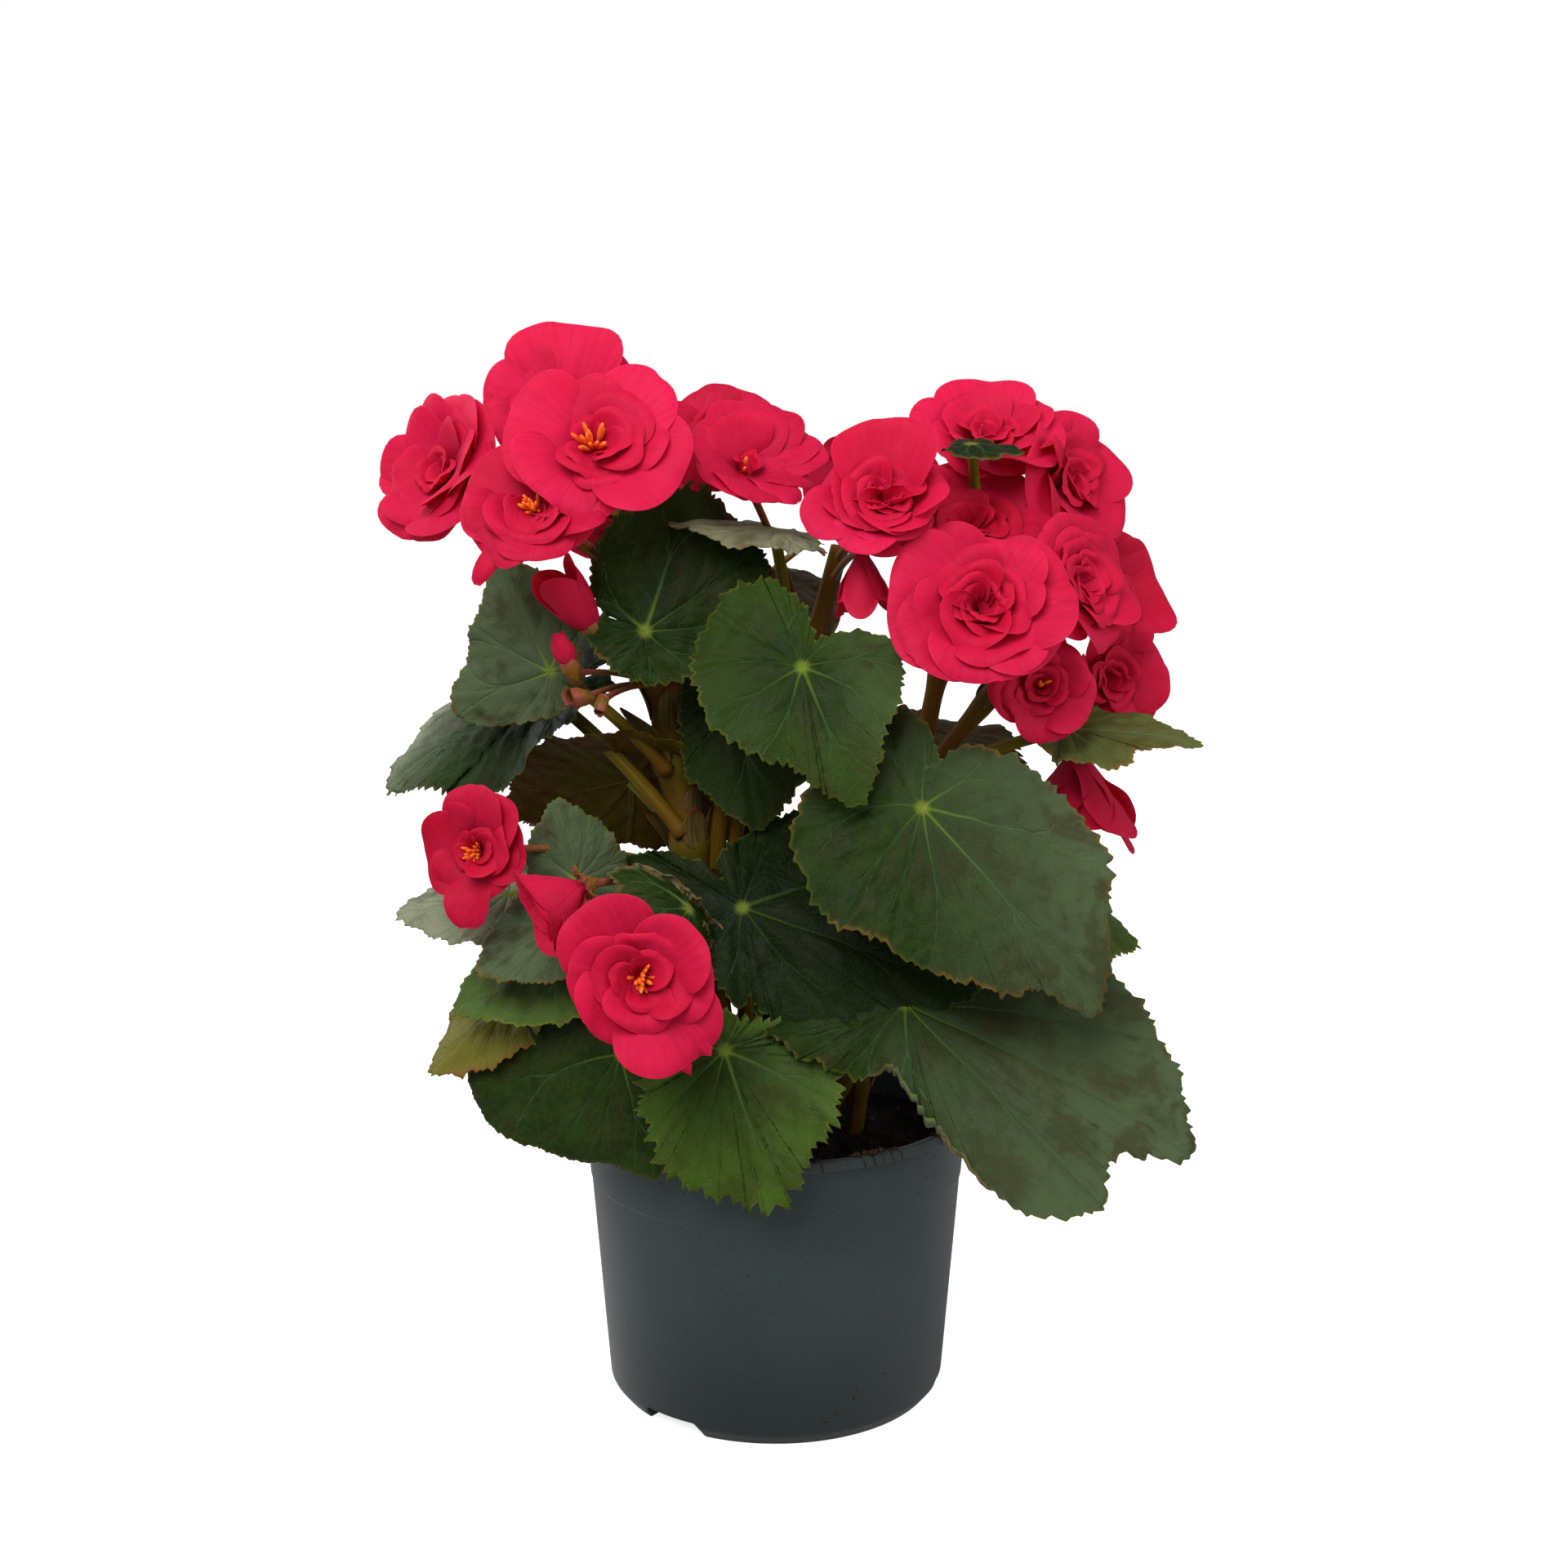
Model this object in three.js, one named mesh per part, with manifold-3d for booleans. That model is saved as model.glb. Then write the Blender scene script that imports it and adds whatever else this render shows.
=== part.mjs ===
// A potted tuberous begonia: a plain tapered nursery pot filled with peat, five stems, leaves on their
// stalks, double blooms and buds. Millimetres, +Z up, the pot stands on z = 0 and the front is -Y.
import * as THREE from 'three';
import { mergeVertices } from 'three/addons/utils/BufferGeometryUtils.js';
import Module from 'manifold-3d';

const wasm = await Module();
wasm.setup();

// ---- Driving dimensions ------------------------------------------------------------------------
const POT_HEIGHT = 98;
const LIP_RADIUS = 65; // a 13 cm pot, measured over its lip
const LIP_HEIGHT = 4;
const LIP_BORE = 62.3;
const WALL_FOOT_RADIUS = 55.2; // where the wall would reach z = 0
const WALL_SLOPE = 0.078; // the wall widens this much for each mm of height
const WALL = 1.6;
const COLLAR_Z = 74; // a faint step runs around the pot below the rim
const COLLAR_STEP = 0.3;
const FOOT_RADIUS = 52.2;
const FOOT_INNER_RADIUS = 48.6;
const FOOT_CHAMFER = 4;
const FLOOR_Z = 5.5;
const FLOOR_THICKNESS = 2;
const POT_SIDES = 48;
const NOTCH_WIDTH = 21;
const NOTCH_HEIGHT = 5.5;
const NOTCH_AZIMUTHS = [-38, 82, 202]; // degrees around the pot, from the front towards +X
const DRAIN_RADIUS = 4;
const DRAIN_CIRCLE = 30;
const DRAIN_COUNT = 4;

const SOIL_EDGE_Z = 83;
const SOIL_CROWN = 3; // the peat is this much higher in the middle
const SOIL_LUMPS = 0.9;
const ROOTING_Z = 72; // stems and leaf stalks go down into the peat to this height

const GAP = 0.4; // clearance left around pot, stems and stalks
const BROAD_GAP = 0.8; // the same around blades and heads, whose edges are sharp
const SIMPLIFY = 0.12; // detail smaller than this is dropped from a cut piece
const STALK_SIDES = 6;
const STALK_STEP = 16; // length of one straight stretch of a stalk
const STALK_ARCH = 0.14; // how far a stalk arches above a straight line, as a share of its length
const LEAF_STALK_RADIUS = 2;
const BLOOM_STALK_RADIUS = 1.4;
const STEM_SIDES = 8;
const BLADE_THICKNESS = 1.6;
const BLADE_POINTS = 18; // points around a blade's edge
const BLADE_RINGS = 4;
const HEAD_POINTS = 10;
const HEAD_RINGS = 6;
// A head's shape as shares of its radius, for a tight bud and for a full flower.
const HEAD_WIDTH = [0.42, 1];
const HEAD_RIM = [0.5, 0.22]; // height of the widest place above the base
const HEAD_TOP = [1.25, 0.5]; // height of the middle of the face above the base
const HEAD_SETBACK = 0.3; // the base is this far behind the middle of the face
const HEAD_NECK = 0.22; // and the stalk ends this far behind it

// Outlines of a blade about the point where its stalk meets it: how far the edge is, as a share of the
// distance to the tip, at every 30 degrees from the tip, clockwise as seen from above the leaf.
const HEART = [1, 0.78, 0.66, 0.63, 0.6, 0.55, 0.4, 0.5, 0.55, 0.57, 0.62, 0.76];
const OBLIQUE_HEART = [1, 0.66, 0.54, 0.52, 0.48, 0.42, 0.34, 0.4, 0.36, 0.36, 0.54, 0.77];
const ROUND_HEART = [1, 0.68, 0.75, 0.77, 0.77, 0.74, 0.64, 0.36, 0.34, 0.56, 0.7, 0.77];
const TWO_LOBED = [1, 0.8, 0.42, 0.27, 0.36, 0.37, 0.3, 0.3, 0.28, 0.24, 0.32, 0.84];
const LONG_LOBED = [1, 0.64, 0.5, 0.3, 0.28, 0.42, 0.6, 0.34, 0.3, 0.5, 0.67, 0.76];
const SHORT_BACKED = [1, 0.88, 0.7, 0.5, 0.36, 0.3, 0.25, 0.3, 0.32, 0.42, 0.72, 0.8];
const WIDE_RIGHT = [1, 0.84, 0.96, 1.28, 0.95, 0.72, 0.5, 0.4, 0.36, 0.42, 0.52, 0.7];
const WIDE_LEFT = [1, 0.78, 0.4, 0.28, 0.28, 0.3, 0.32, 0.38, 0.52, 0.96, 0.78, 0.78];
const HALF_LEFT = [1, 0.93, 0.8, 0.7, 0.55, 0.48, 0.42, 0.38, 0.34, 0.34, 0.5, 0.65];
const FAN = [1, 0.93, 0.76, 0.46, 0.38, 0.33, 0.3, 0.3, 0.34, 0.38, 0.52, 0.77];
const SLIM = [1, 0.7, 0.42, 0.32, 0.28, 0.3, 0.34, 0.34, 0.34, 0.4, 0.58, 0.66];

// ---- Solids: three.js geometry in, joined and cut ------------------------------------------------
function closedMesh(geometry) {
  const bare = geometry.clone();
  bare.deleteAttribute('normal');
  bare.deleteAttribute('uv');
  return mergeVertices(bare, 1e-5);
}

function solid(geometry) {
  const merged = closedMesh(geometry);
  const vertProperties = new Float32Array(merged.getAttribute('position').array);
  const triVerts = new Uint32Array(merged.getIndex().array);
  return new wasm.Manifold(new wasm.Mesh({ numProp: 3, vertProperties, triVerts }));
}

function geometryOf(manifold) {
  const { vertProperties, triVerts, numProp } = manifold.getMesh();
  const geometry = new THREE.BufferGeometry();
  const xyz = new Float32Array((vertProperties.length / numProp) * 3);
  for (let i = 0; i < xyz.length / 3; i++) {
    xyz.set(vertProperties.subarray(i * numProp, i * numProp + 3), i * 3);
  }
  geometry.setAttribute('position', new THREE.BufferAttribute(xyz, 3));
  geometry.setIndex(new THREE.BufferAttribute(new Uint32Array(triVerts), 1));
  geometry.computeVertexNormals();
  return geometry;
}

function boxesMeet(a, b) {
  const p = a.boundingBox();
  const q = b.boundingBox();
  return [0, 1, 2].every((i) => p.min[i] < q.max[i] && q.min[i] < p.max[i]);
}

function cutBy(body, cutters) {
  let left = body;
  for (const cutter of cutters) {
    if (boxesMeet(left, cutter)) left = left.subtract(cutter);
  }
  return left;
}

function largestPiece(body) {
  const pieces = body.simplify(SIMPLIFY).decompose();
  pieces.sort((a, b) => b.volume() - a.volume());
  return pieces[0];
}

// ---- Shapes --------------------------------------------------------------------------------------
const vector = (xyz) => new THREE.Vector3(...xyz);

// A stalk or stem: a round tube along a curve.
function tube(curve, radius, sides) {
  const section = new THREE.Shape();
  for (let i = 0; i < sides; i++) {
    const turn = (2 * Math.PI * i) / sides;
    const [x, y] = [radius * Math.cos(turn), radius * Math.sin(turn)];
    if (i === 0) section.moveTo(x, y);
    else section.lineTo(x, y);
  }
  section.closePath();
  const steps = Math.max(2, Math.round(curve.getLength() / STALK_STEP));
  return solid(new THREE.ExtrudeGeometry(section, { steps, bevelEnabled: false, extrudePath: curve }));
}

// A stalk rises from its root and arches over to the place that it carries.
function stalkCurve(root, end) {
  const [from, to] = [vector(root), vector(end)];
  const arch = from.clone().lerp(to, 0.5);
  arch.z += STALK_ARCH * from.distanceTo(to);
  return new THREE.QuadraticBezierCurve3(from, arch, to);
}

// A ball whose vertices are moved to where place(angle, reach, height) puts them: angle goes around
// the pole, reach from the pole to the edge is 0 to 1, height is 1 and -1 at the poles, 0 at the edge.
function remoulded(points, rings, place) {
  const ball = closedMesh(new THREE.SphereGeometry(1, points, rings));
  const position = ball.getAttribute('position');
  const at = new THREE.Vector3();
  for (let i = 0; i < position.count; i++) {
    at.fromBufferAttribute(position, i);
    const spot = place(Math.atan2(at.z, at.x), Math.hypot(at.x, at.z), at.y);
    position.setXYZ(i, spot.x, spot.y, spot.z);
  }
  return solid(ball);
}

// The outline at any angle: a smooth curve through its twelve reaches.
function bladeReach(angle, outline) {
  const count = outline.length;
  const turn = THREE.MathUtils.euclideanModulo((angle / (2 * Math.PI)) * count, count);
  const i = Math.floor(turn);
  const [before, from, to, after] = [-1, 0, 1, 2].map((step) => outline[(i + step + count) % count]);
  const t = turn - i;
  const slope = (to - before) / 2;
  const nextSlope = (after - from) / 2;
  const rise = from - to;
  return from + t * (slope + t * (-3 * rise - 2 * slope - nextSlope + t * (2 * rise + slope + nextSlope)));
}

// A leaf blade, arched along its length by droop and bent down to each side by fold (radians).
function blade(leaf, grow) {
  const { hub, tip, face, outline, droop, fold } = leaf;
  const chord = vector(tip).sub(vector(hub));
  const length = (chord.length() * droop) / 2 / Math.sin(droop / 2);
  chord.normalize();
  const normal = vector(face);
  normal.addScaledVector(chord, -normal.dot(chord)).normalize();
  const across = new THREE.Vector3().crossVectors(chord, normal);
  const forward = chord.clone().applyAxisAngle(across, droop / 2);
  const up = normal.clone().applyAxisAngle(across, droop / 2);
  const arc = length / droop;
  return remoulded(BLADE_POINTS, BLADE_RINGS, (angle, reach, height) => {
    const r = (length * bladeReach(angle, outline) + grow) * reach;
    const lift = Math.sign(height) * (BLADE_THICKNESS / 2 + grow) * Math.sqrt(Math.abs(height));
    const bend = (r * Math.cos(angle)) / arc;
    const aside = r * Math.sin(angle);
    const sag = (Math.hypot(aside, 4) - 4) * Math.sin(fold);
    return vector(hub)
      .addScaledVector(forward, (arc + lift) * Math.sin(bend))
      .addScaledVector(across, aside * Math.cos(fold))
      .addScaledVector(up, (arc + lift) * Math.cos(bend) - arc - sag);
  });
}

// A bloom's head of petals: wide and domed where open, a slim egg where it is still a bud.
function head(bloom, grow) {
  const { at, face, size, open } = bloom;
  const axis = vector(face).normalize();
  const out = new THREE.Vector3(1, 0, 0).cross(axis).normalize();
  const across = new THREE.Vector3().crossVectors(out, axis);
  const [radius, rim, top] = [HEAD_WIDTH, HEAD_RIM, HEAD_TOP].map(([bud, full]) => {
    return size * THREE.MathUtils.lerp(bud, full, open);
  });
  return remoulded(HEAD_POINTS, HEAD_RINGS, (angle, reach, height) => {
    const lobed = 1 + 0.05 * open * Math.cos(5 * angle);
    const r = (radius * lobed + grow) * reach;
    const front = rim + (top - rim + grow) * Math.abs(height);
    const back = rim * (1 - Math.abs(height)) - grow * Math.abs(height);
    return vector(at)
      .addScaledVector(axis, (height > 0 ? front : back) - HEAD_SETBACK * size)
      .addScaledVector(out, r * Math.cos(angle))
      .addScaledVector(across, r * Math.sin(angle));
  });
}

// ---- Pot -----------------------------------------------------------------------------------------
const wallRadius = (z) => WALL_FOOT_RADIUS + WALL_SLOPE * z;

// The pot's half section, swollen all round by grow.
function pot(grow) {
  const lipZ = POT_HEIGHT - LIP_HEIGHT;
  const floorTop = FLOOR_Z + FLOOR_THICKNESS;
  const inside = (z) => wallRadius(z) - WALL - grow;
  const profile = [
    [0, FLOOR_Z - grow],
    [FOOT_INNER_RADIUS - grow, FLOOR_Z - grow],
    [FOOT_INNER_RADIUS - grow, -grow],
    [FOOT_RADIUS + grow, -grow],
    [wallRadius(FOOT_CHAMFER) + grow, FOOT_CHAMFER],
    [wallRadius(COLLAR_Z) + grow, COLLAR_Z],
    [wallRadius(COLLAR_Z) + COLLAR_STEP + grow, COLLAR_Z + COLLAR_STEP],
    [wallRadius(lipZ) + COLLAR_STEP + grow, lipZ - grow],
    [LIP_RADIUS + grow, lipZ + 1 - grow],
    [LIP_RADIUS + grow, POT_HEIGHT - 1],
    [LIP_RADIUS - 1 + grow, POT_HEIGHT + grow],
    [LIP_BORE - grow, POT_HEIGHT + grow],
    [inside(lipZ), lipZ],
    [inside(floorTop), floorTop + grow],
    [0, floorTop + grow],
  ];
  const section = profile.map(([r, z]) => new THREE.Vector2(r, z));
  return solid(new THREE.LatheGeometry(section, POT_SIDES).rotateX(Math.PI / 2));
}

function openedPot() {
  const notches = NOTCH_AZIMUTHS.map((azimuth) => {
    const block = new THREE.BoxGeometry(NOTCH_WIDTH, 24, 2 * NOTCH_HEIGHT);
    block.translate(0, -FOOT_RADIUS, 0);
    return solid(block.rotateZ(THREE.MathUtils.degToRad(azimuth)));
  });
  const drains = Array.from({ length: DRAIN_COUNT }, (_, i) => {
    const plug = new THREE.CylinderGeometry(DRAIN_RADIUS, DRAIN_RADIUS, 12, 12).rotateX(Math.PI / 2);
    plug.translate(DRAIN_CIRCLE, 0, FLOOR_Z);
    return solid(plug.rotateZ((2 * Math.PI * (i + 0.5)) / DRAIN_COUNT));
  });
  return cutBy(pot(0), [...notches, ...drains]);
}

// ---- Peat root ball ------------------------------------------------------------------------------
function rootBall() {
  const bottom = FLOOR_Z + FLOOR_THICKNESS + GAP;
  const inside = (z) => wallRadius(z) - WALL - 1;
  const profile = [
    [0, bottom],
    [inside(bottom), bottom],
    [inside(SOIL_EDGE_Z), SOIL_EDGE_Z],
    [45, SOIL_EDGE_Z + 0.4 * SOIL_CROWN],
    [25, SOIL_EDGE_Z + 0.8 * SOIL_CROWN],
    [0, SOIL_EDGE_Z + SOIL_CROWN],
  ];
  const section = profile.map(([r, z]) => new THREE.Vector2(r, z));
  const ball = closedMesh(new THREE.LatheGeometry(section, 24).rotateX(Math.PI / 2));
  const position = ball.getAttribute('position');
  for (let i = 0; i < position.count; i++) {
    const [x, y, z] = [position.getX(i), position.getY(i), position.getZ(i)];
    const lump = Math.sin(x * 0.31 + 1) * Math.cos(y * 0.27) + Math.sin((x + y) * 0.17);
    if (z > SOIL_EDGE_Z - 1) position.setZ(i, z + SOIL_LUMPS * lump);
  }
  return solid(ball);
}

// ---- The plant's plan: where every stem, leaf and bloom is ---------------------------------------
const STEMS = [
  {
    name: 'stem_main',
    radius: 5,
    path: [[-15, 0, ROOTING_Z], [-19, -6, 113], [-26, -12, 179], [-32, -8, 210], [-42, -6, 282]],
  },
  {
    name: 'stem_centre',
    radius: 3.6,
    path: [[2, 8, ROOTING_Z], [-7, 2, 140], [-11, -3, 177], [-1, 0, 203], [7, 0, 230], [20, -10, 280]],
  },
  {
    name: 'stem_right',
    radius: 3.3,
    path: [[24, 2, ROOTING_Z], [34, 0, 150], [44, -2, 195], [53, -9, 214], [66, -14, 232], [74, -18, 244]],
  },
  {
    name: 'stem_right_inner',
    radius: 3.3,
    path: [[13, 18, ROOTING_Z], [38, 12, 160], [47, 4, 205], [50, 2, 228], [58, 0, 262], [66, -2, 285]],
  },
  {
    name: 'stem_back',
    radius: 3.8,
    path: [[-6, 24, ROOTING_Z], [-2, 38, 140], [-8, 46, 210], [-6, 52, 268]],
  },
];

// A leaf: its outline, where the stalk meets the blade, the tip, the way the upper side faces, and
// where the stalk springs from. The blade arches by droop along it and by fold to each side, in radians.
function leaf(name, outline, hub, tip, face, root, droop = 0.3, fold = 0.2) {
  return { name: `leaf_${name}`, outline, hub, tip, face, root, droop, fold };
}

// A bloom: the middle of its face, the way it looks, its radius, how far it has opened, from 0 for a
// tight bud to 1 for a full flower, and where its stalk springs from.
function bloom(name, at, face, size, open, root) {
  return { name: `${open ? 'bloom' : 'bud'}_${name}`, at, face, size, open, root };
}

const LEAVES = [
  // The front, from the top down.
  leaf('upright_left', FAN, [-39, -42, 258], [-24, -26, 300], [0, -0.95, 0.3], [-38, -8, 236], 0.2, 0.1),
  leaf('upper_grey', HEART, [0, -28, 283], [-28, -34, 292], [0.1, -0.1, 1], [5, -6, 250], 0.5, 0.2),
  leaf('front_heart', ROUND_HEART, [8, -62, 250], [23, -72, 209], [0, -0.95, 0.3], [4, -5, 222], 0.3, 0.12),
  leaf('inner_dark', HEART, [-16, -14, 236], [-4, -30, 213], [0.1, -0.9, 0.4], [-6, -4, 190], 0.2, 0.1),
  leaf(
    'front_large', OBLIQUE_HEART, [43, -72, 210], [94, -88, 153],
    [0.25, -0.75, 0.6], [16, 0, 160], 0.35, 0.16,
  ),
  leaf('front_dark', LONG_LOBED, [-10, -48, 174], [59, -60, 150], [-0.1, -0.8, 0.6], [-10, 2, 120]),
  leaf(
    'right_low', TWO_LOBED, [39, -64, 148], [123, -90, 107],
    [0.15, -0.75, 0.65], [12, -6, 84], 0.35, 0.15,
  ),
  leaf(
    'rim_front', SHORT_BACKED, [-15, -68, 135], [0, -78, 91],
    [-0.05, -0.95, 0.3], [-8, -12, 84], 0.2, 0.2,
  ),
  leaf('rim_left', WIDE_RIGHT, [-47, -56, 130], [-37, -66, 94], [-0.4, -0.8, 0.45], [-24, -14, 84]),
  leaf('curled', HEART, [-25, -58, 178], [-38, -50, 190], [0.3, -0.6, 0.7], [-22, -16, 150], 1.2, 0.6),
  // The left side.
  leaf(
    'left_upper', WIDE_LEFT, [-69, -30, 244], [-85, -24, 277],
    [-0.35, -0.8, 0.45], [-34, -10, 216], 0.2, 0.2,
  ),
  leaf('left_drooping', HALF_LEFT, [-71, -4, 238], [-127, 14, 200], [-0.4, -0.45, 0.8], [-29, -12, 196]),
  leaf(
    'left_underside', HEART, [-47, 8, 203], [-88, 24, 190],
    [-0.2, 0.75, 0.6], [-27, -2, 180], 0.2, 0.15,
  ),
  leaf('left_small_upright', HEART, [-60, -40, 182], [-65, -32, 203], [-0.1, -0.7, 0.7], [-24, -16, 160]),
  leaf('left_small_far', HEART, [-84, -22, 172], [-118, -26, 165], [-0.1, -0.4, 0.9], [-23, -4, 150]),
  leaf('left_brown', HEART, [-64, -44, 170], [-92, -50, 153], [-0.2, -0.7, 0.7], [-21, -14, 140]),
  leaf('left_green', HEART, [-64, -34, 156], [-101, -36, 139], [-0.2, -0.55, 0.8], [-20, -10, 125]),
  leaf('left_yellow', HEART, [-84, -22, 140], [-108, -26, 114], [-0.55, -0.5, 0.65], [-24, 0, 84]),
  // The right side.
  leaf('bract', HEART, [60, -30, 314], [74, -34, 310], [0, -0.4, 0.9], [64, -6, 280]),
  leaf('right_pointed', SLIM, [91, -34, 224], [129, -50, 221], [0.1, -0.4, 0.9], [50, -10, 206]),
  leaf('right_far', HEART, [86, 6, 168], [120, 20, 144], [0.4, -0.2, 0.8], [36, 4, 140]),
  // The back, which the photograph doesn't show.
  leaf('back_top', ROUND_HEART, [4, 62, 262], [14, 100, 240], [0.1, 0.5, 0.85], [-6, 50, 240]),
  leaf('back_right', HEART, [44, 56, 214], [78, 92, 178], [0.3, 0.6, 0.7], [-6, 44, 190], 0.35, 0.2),
  leaf(
    'back_left', OBLIQUE_HEART, [-50, 54, 206], [-86, 88, 170],
    [-0.3, 0.6, 0.7], [-6, 42, 180], 0.35, 0.2,
  ),
  leaf('back_low_right', HEART, [52, 44, 150], [92, 82, 112], [0.4, 0.5, 0.75], [2, 30, 110], 0.35, 0.2),
  leaf('back_low_left', HEART, [-54, 42, 146], [-92, 72, 106], [-0.4, 0.5, 0.75], [-8, 28, 105], 0.35, 0.2),
  leaf('back_low', ROUND_HEART, [-2, 64, 150], [4, 106, 104], [0, 0.7, 0.7], [-4, 34, 120], 0.35, 0.2),
];

const BLOOMS = [
  // The left cluster.
  bloom('left_main', [-53, -52, 315], [0, -0.85, 0.5], 28, 1, [-42, -8, 276]),
  bloom('left_top', [-71, 4, 332], [-0.1, -0.75, 0.65], 25, 0.95, [-42, -5, 270]),
  bloom('left_side', [-99, -16, 302], [-0.65, -0.4, 0.65], 26, 0.7, [-41, -5, 264]),
  bloom('left_lower', [-70, -56, 297], [-0.15, -0.8, 0.55], 24, 0.9, [-41, -8, 262]),
  bloom('middle_left', [-18, -12, 314], [0.1, -0.75, 0.6], 22, 0.85, [-41, -6, 268]),
  bloom('middle', [-8, -32, 308], [0.35, -0.6, 0.65], 23, 0.85, [12, -3, 246]),
  bloom('pair_left', [-60, -42, 246], [-0.3, -0.6, -0.5], 11, 0, [-37, -8, 236]),
  bloom('left_pink', [-57, -38, 262], [-0.1, -0.3, -0.9], 13, 0, [-38, -7, 242]),
  // The right cluster.
  bloom('centre', [32, -50, 304], [0, -0.85, 0.5], 24, 0.9, [19, -10, 276]),
  bloom('centre_narrow', [25, -46, 270], [-0.1, -0.4, -0.85], 14, 0.1, [18, -9, 270]),
  bloom('right_top', [64, -2, 314], [0.05, -0.3, 0.95], 26, 0.8, [65, -2, 282]),
  bloom('right_upper', [95, 0, 304], [0.75, -0.55, 0.4], 24, 0.85, [63, -2, 278]),
  bloom('right_behind', [56, -26, 288], [0, -0.8, 0.6], 22, 0.8, [60, -1, 268]),
  bloom('right_main', [60, -64, 268], [0, -0.85, 0.5], 29, 1, [57, -1, 258]),
  bloom('right_facing', [92, -38, 272], [0.7, -0.65, 0.3], 24, 0.85, [72, -17, 240]),
  bloom('right_outer', [111, 2, 266], [0.7, -0.5, 0.3], 23, 0.8, [60, -1, 266]),
  bloom('right_lower', [79, -50, 243], [0.15, -0.9, 0.2], 21, 0.85, [73, -17, 243]),
  bloom('right_low_outer', [107, -14, 238], [0.6, -0.75, 0.1], 20, 0.8, [74, -16, 243]),
  bloom('right_hanging', [98, -8, 202], [0.3, -0.25, -0.9], 23, 0.4, [73, -14, 240]),
  // The lower front.
  bloom('left_low_small', [-91, -50, 192], [-0.35, -0.85, 0.2], 19, 0.8, [-27, -16, 178]),
  bloom('left_half_open', [-64, -70, 179], [-0.5, -0.55, -0.4], 18, 0.25, [-26, -16, 170]),
  bloom('front_low', [-37, -90, 161], [0.1, -0.9, 0.15], 26, 0.95, [-24, -15, 162]),
  // The back, which the photograph doesn't show.
  bloom('back_left', [-52, 62, 288], [-0.35, 0.8, 0.5], 26, 0.95, [-6, 50, 258]),
  bloom('back_right', [34, 72, 290], [0.25, 0.85, 0.5], 26, 0.95, [-6, 51, 262]),
  bloom('back_low_right', [84, 62, 236], [0.6, 0.7, 0.3], 24, 0.85, [54, 2, 240]),
  bloom('back_low_left', [-82, 52, 240], [-0.7, 0.6, 0.3], 23, 0.85, [-7, 46, 228]),
];

// ---- Assembly ------------------------------------------------------------------------------------
const LOOKS = {
  pot: new THREE.MeshStandardMaterial({ color: 0x343a3c, roughness: 0.6, metalness: 0 }),
  peat: new THREE.MeshStandardMaterial({ color: 0x1d140c, roughness: 1, metalness: 0 }),
  stem: new THREE.MeshStandardMaterial({ color: 0x5c4a1e, roughness: 0.6, metalness: 0 }),
  leaf: new THREE.MeshStandardMaterial({ color: 0x3f4f33, roughness: 0.5, metalness: 0 }),
  bloom: new THREE.MeshStandardMaterial({ color: 0xd81a40, roughness: 0.6, metalness: 0 }),
};

const plant = new THREE.Group();

function place(name, body, material) {
  const mesh = new THREE.Mesh(geometryOf(body), material);
  mesh.name = name;
  plant.add(mesh);
}

// Stalks give way to stems and to the stalks before them, blades and heads to all of those.
const stems = STEMS.map(({ path, radius }) => {
  const curve = new THREE.CatmullRomCurve3(path.map(vector));
  return { body: tube(curve, radius, STEM_SIDES), swollen: tube(curve, radius + GAP, STEM_SIDES) };
});
const stalked = [
  ...LEAVES.map((plan) => {
    return { plan, end: plan.hub, radius: LEAF_STALK_RADIUS, broad: blade, look: LOOKS.leaf };
  }),
  ...BLOOMS.map((plan) => {
    const neck = vector(plan.at).addScaledVector(vector(plan.face).normalize(), -HEAD_NECK * plan.size);
    return { plan, end: neck.toArray(), radius: BLOOM_STALK_RADIUS, broad: head, look: LOOKS.bloom };
  }),
];

const keepOut = [pot(GAP)];
stems.forEach((stem, i) => {
  stem.body = largestPiece(cutBy(stem.body, keepOut));
  place(STEMS[i].name, stem.body, LOOKS.stem);
  keepOut.push(stem.swollen);
});
for (const piece of stalked) {
  const curve = stalkCurve(piece.plan.root, piece.end);
  piece.stalk = largestPiece(cutBy(tube(curve, piece.radius, STALK_SIDES), keepOut));
  piece.swollenStalk = tube(curve, piece.radius + GAP, STALK_SIDES);
  keepOut.push(piece.swollenStalk);
}
const broadKeepOut = [];
for (const piece of stalked) {
  const others = keepOut.filter((cutter) => cutter !== piece.swollenStalk);
  const broad = cutBy(piece.broad(piece.plan, 0), [...others, ...broadKeepOut]);
  place(piece.plan.name, largestPiece(piece.stalk.add(broad)), piece.look);
  broadKeepOut.push(piece.broad(piece.plan, BROAD_GAP));
}

place('pot', openedPot(), LOOKS.pot);
place('peat_root_ball', largestPiece(cutBy(rootBall(), keepOut.slice(1))), LOOKS.peat);

export default plant;
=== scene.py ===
import math
import random

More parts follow.
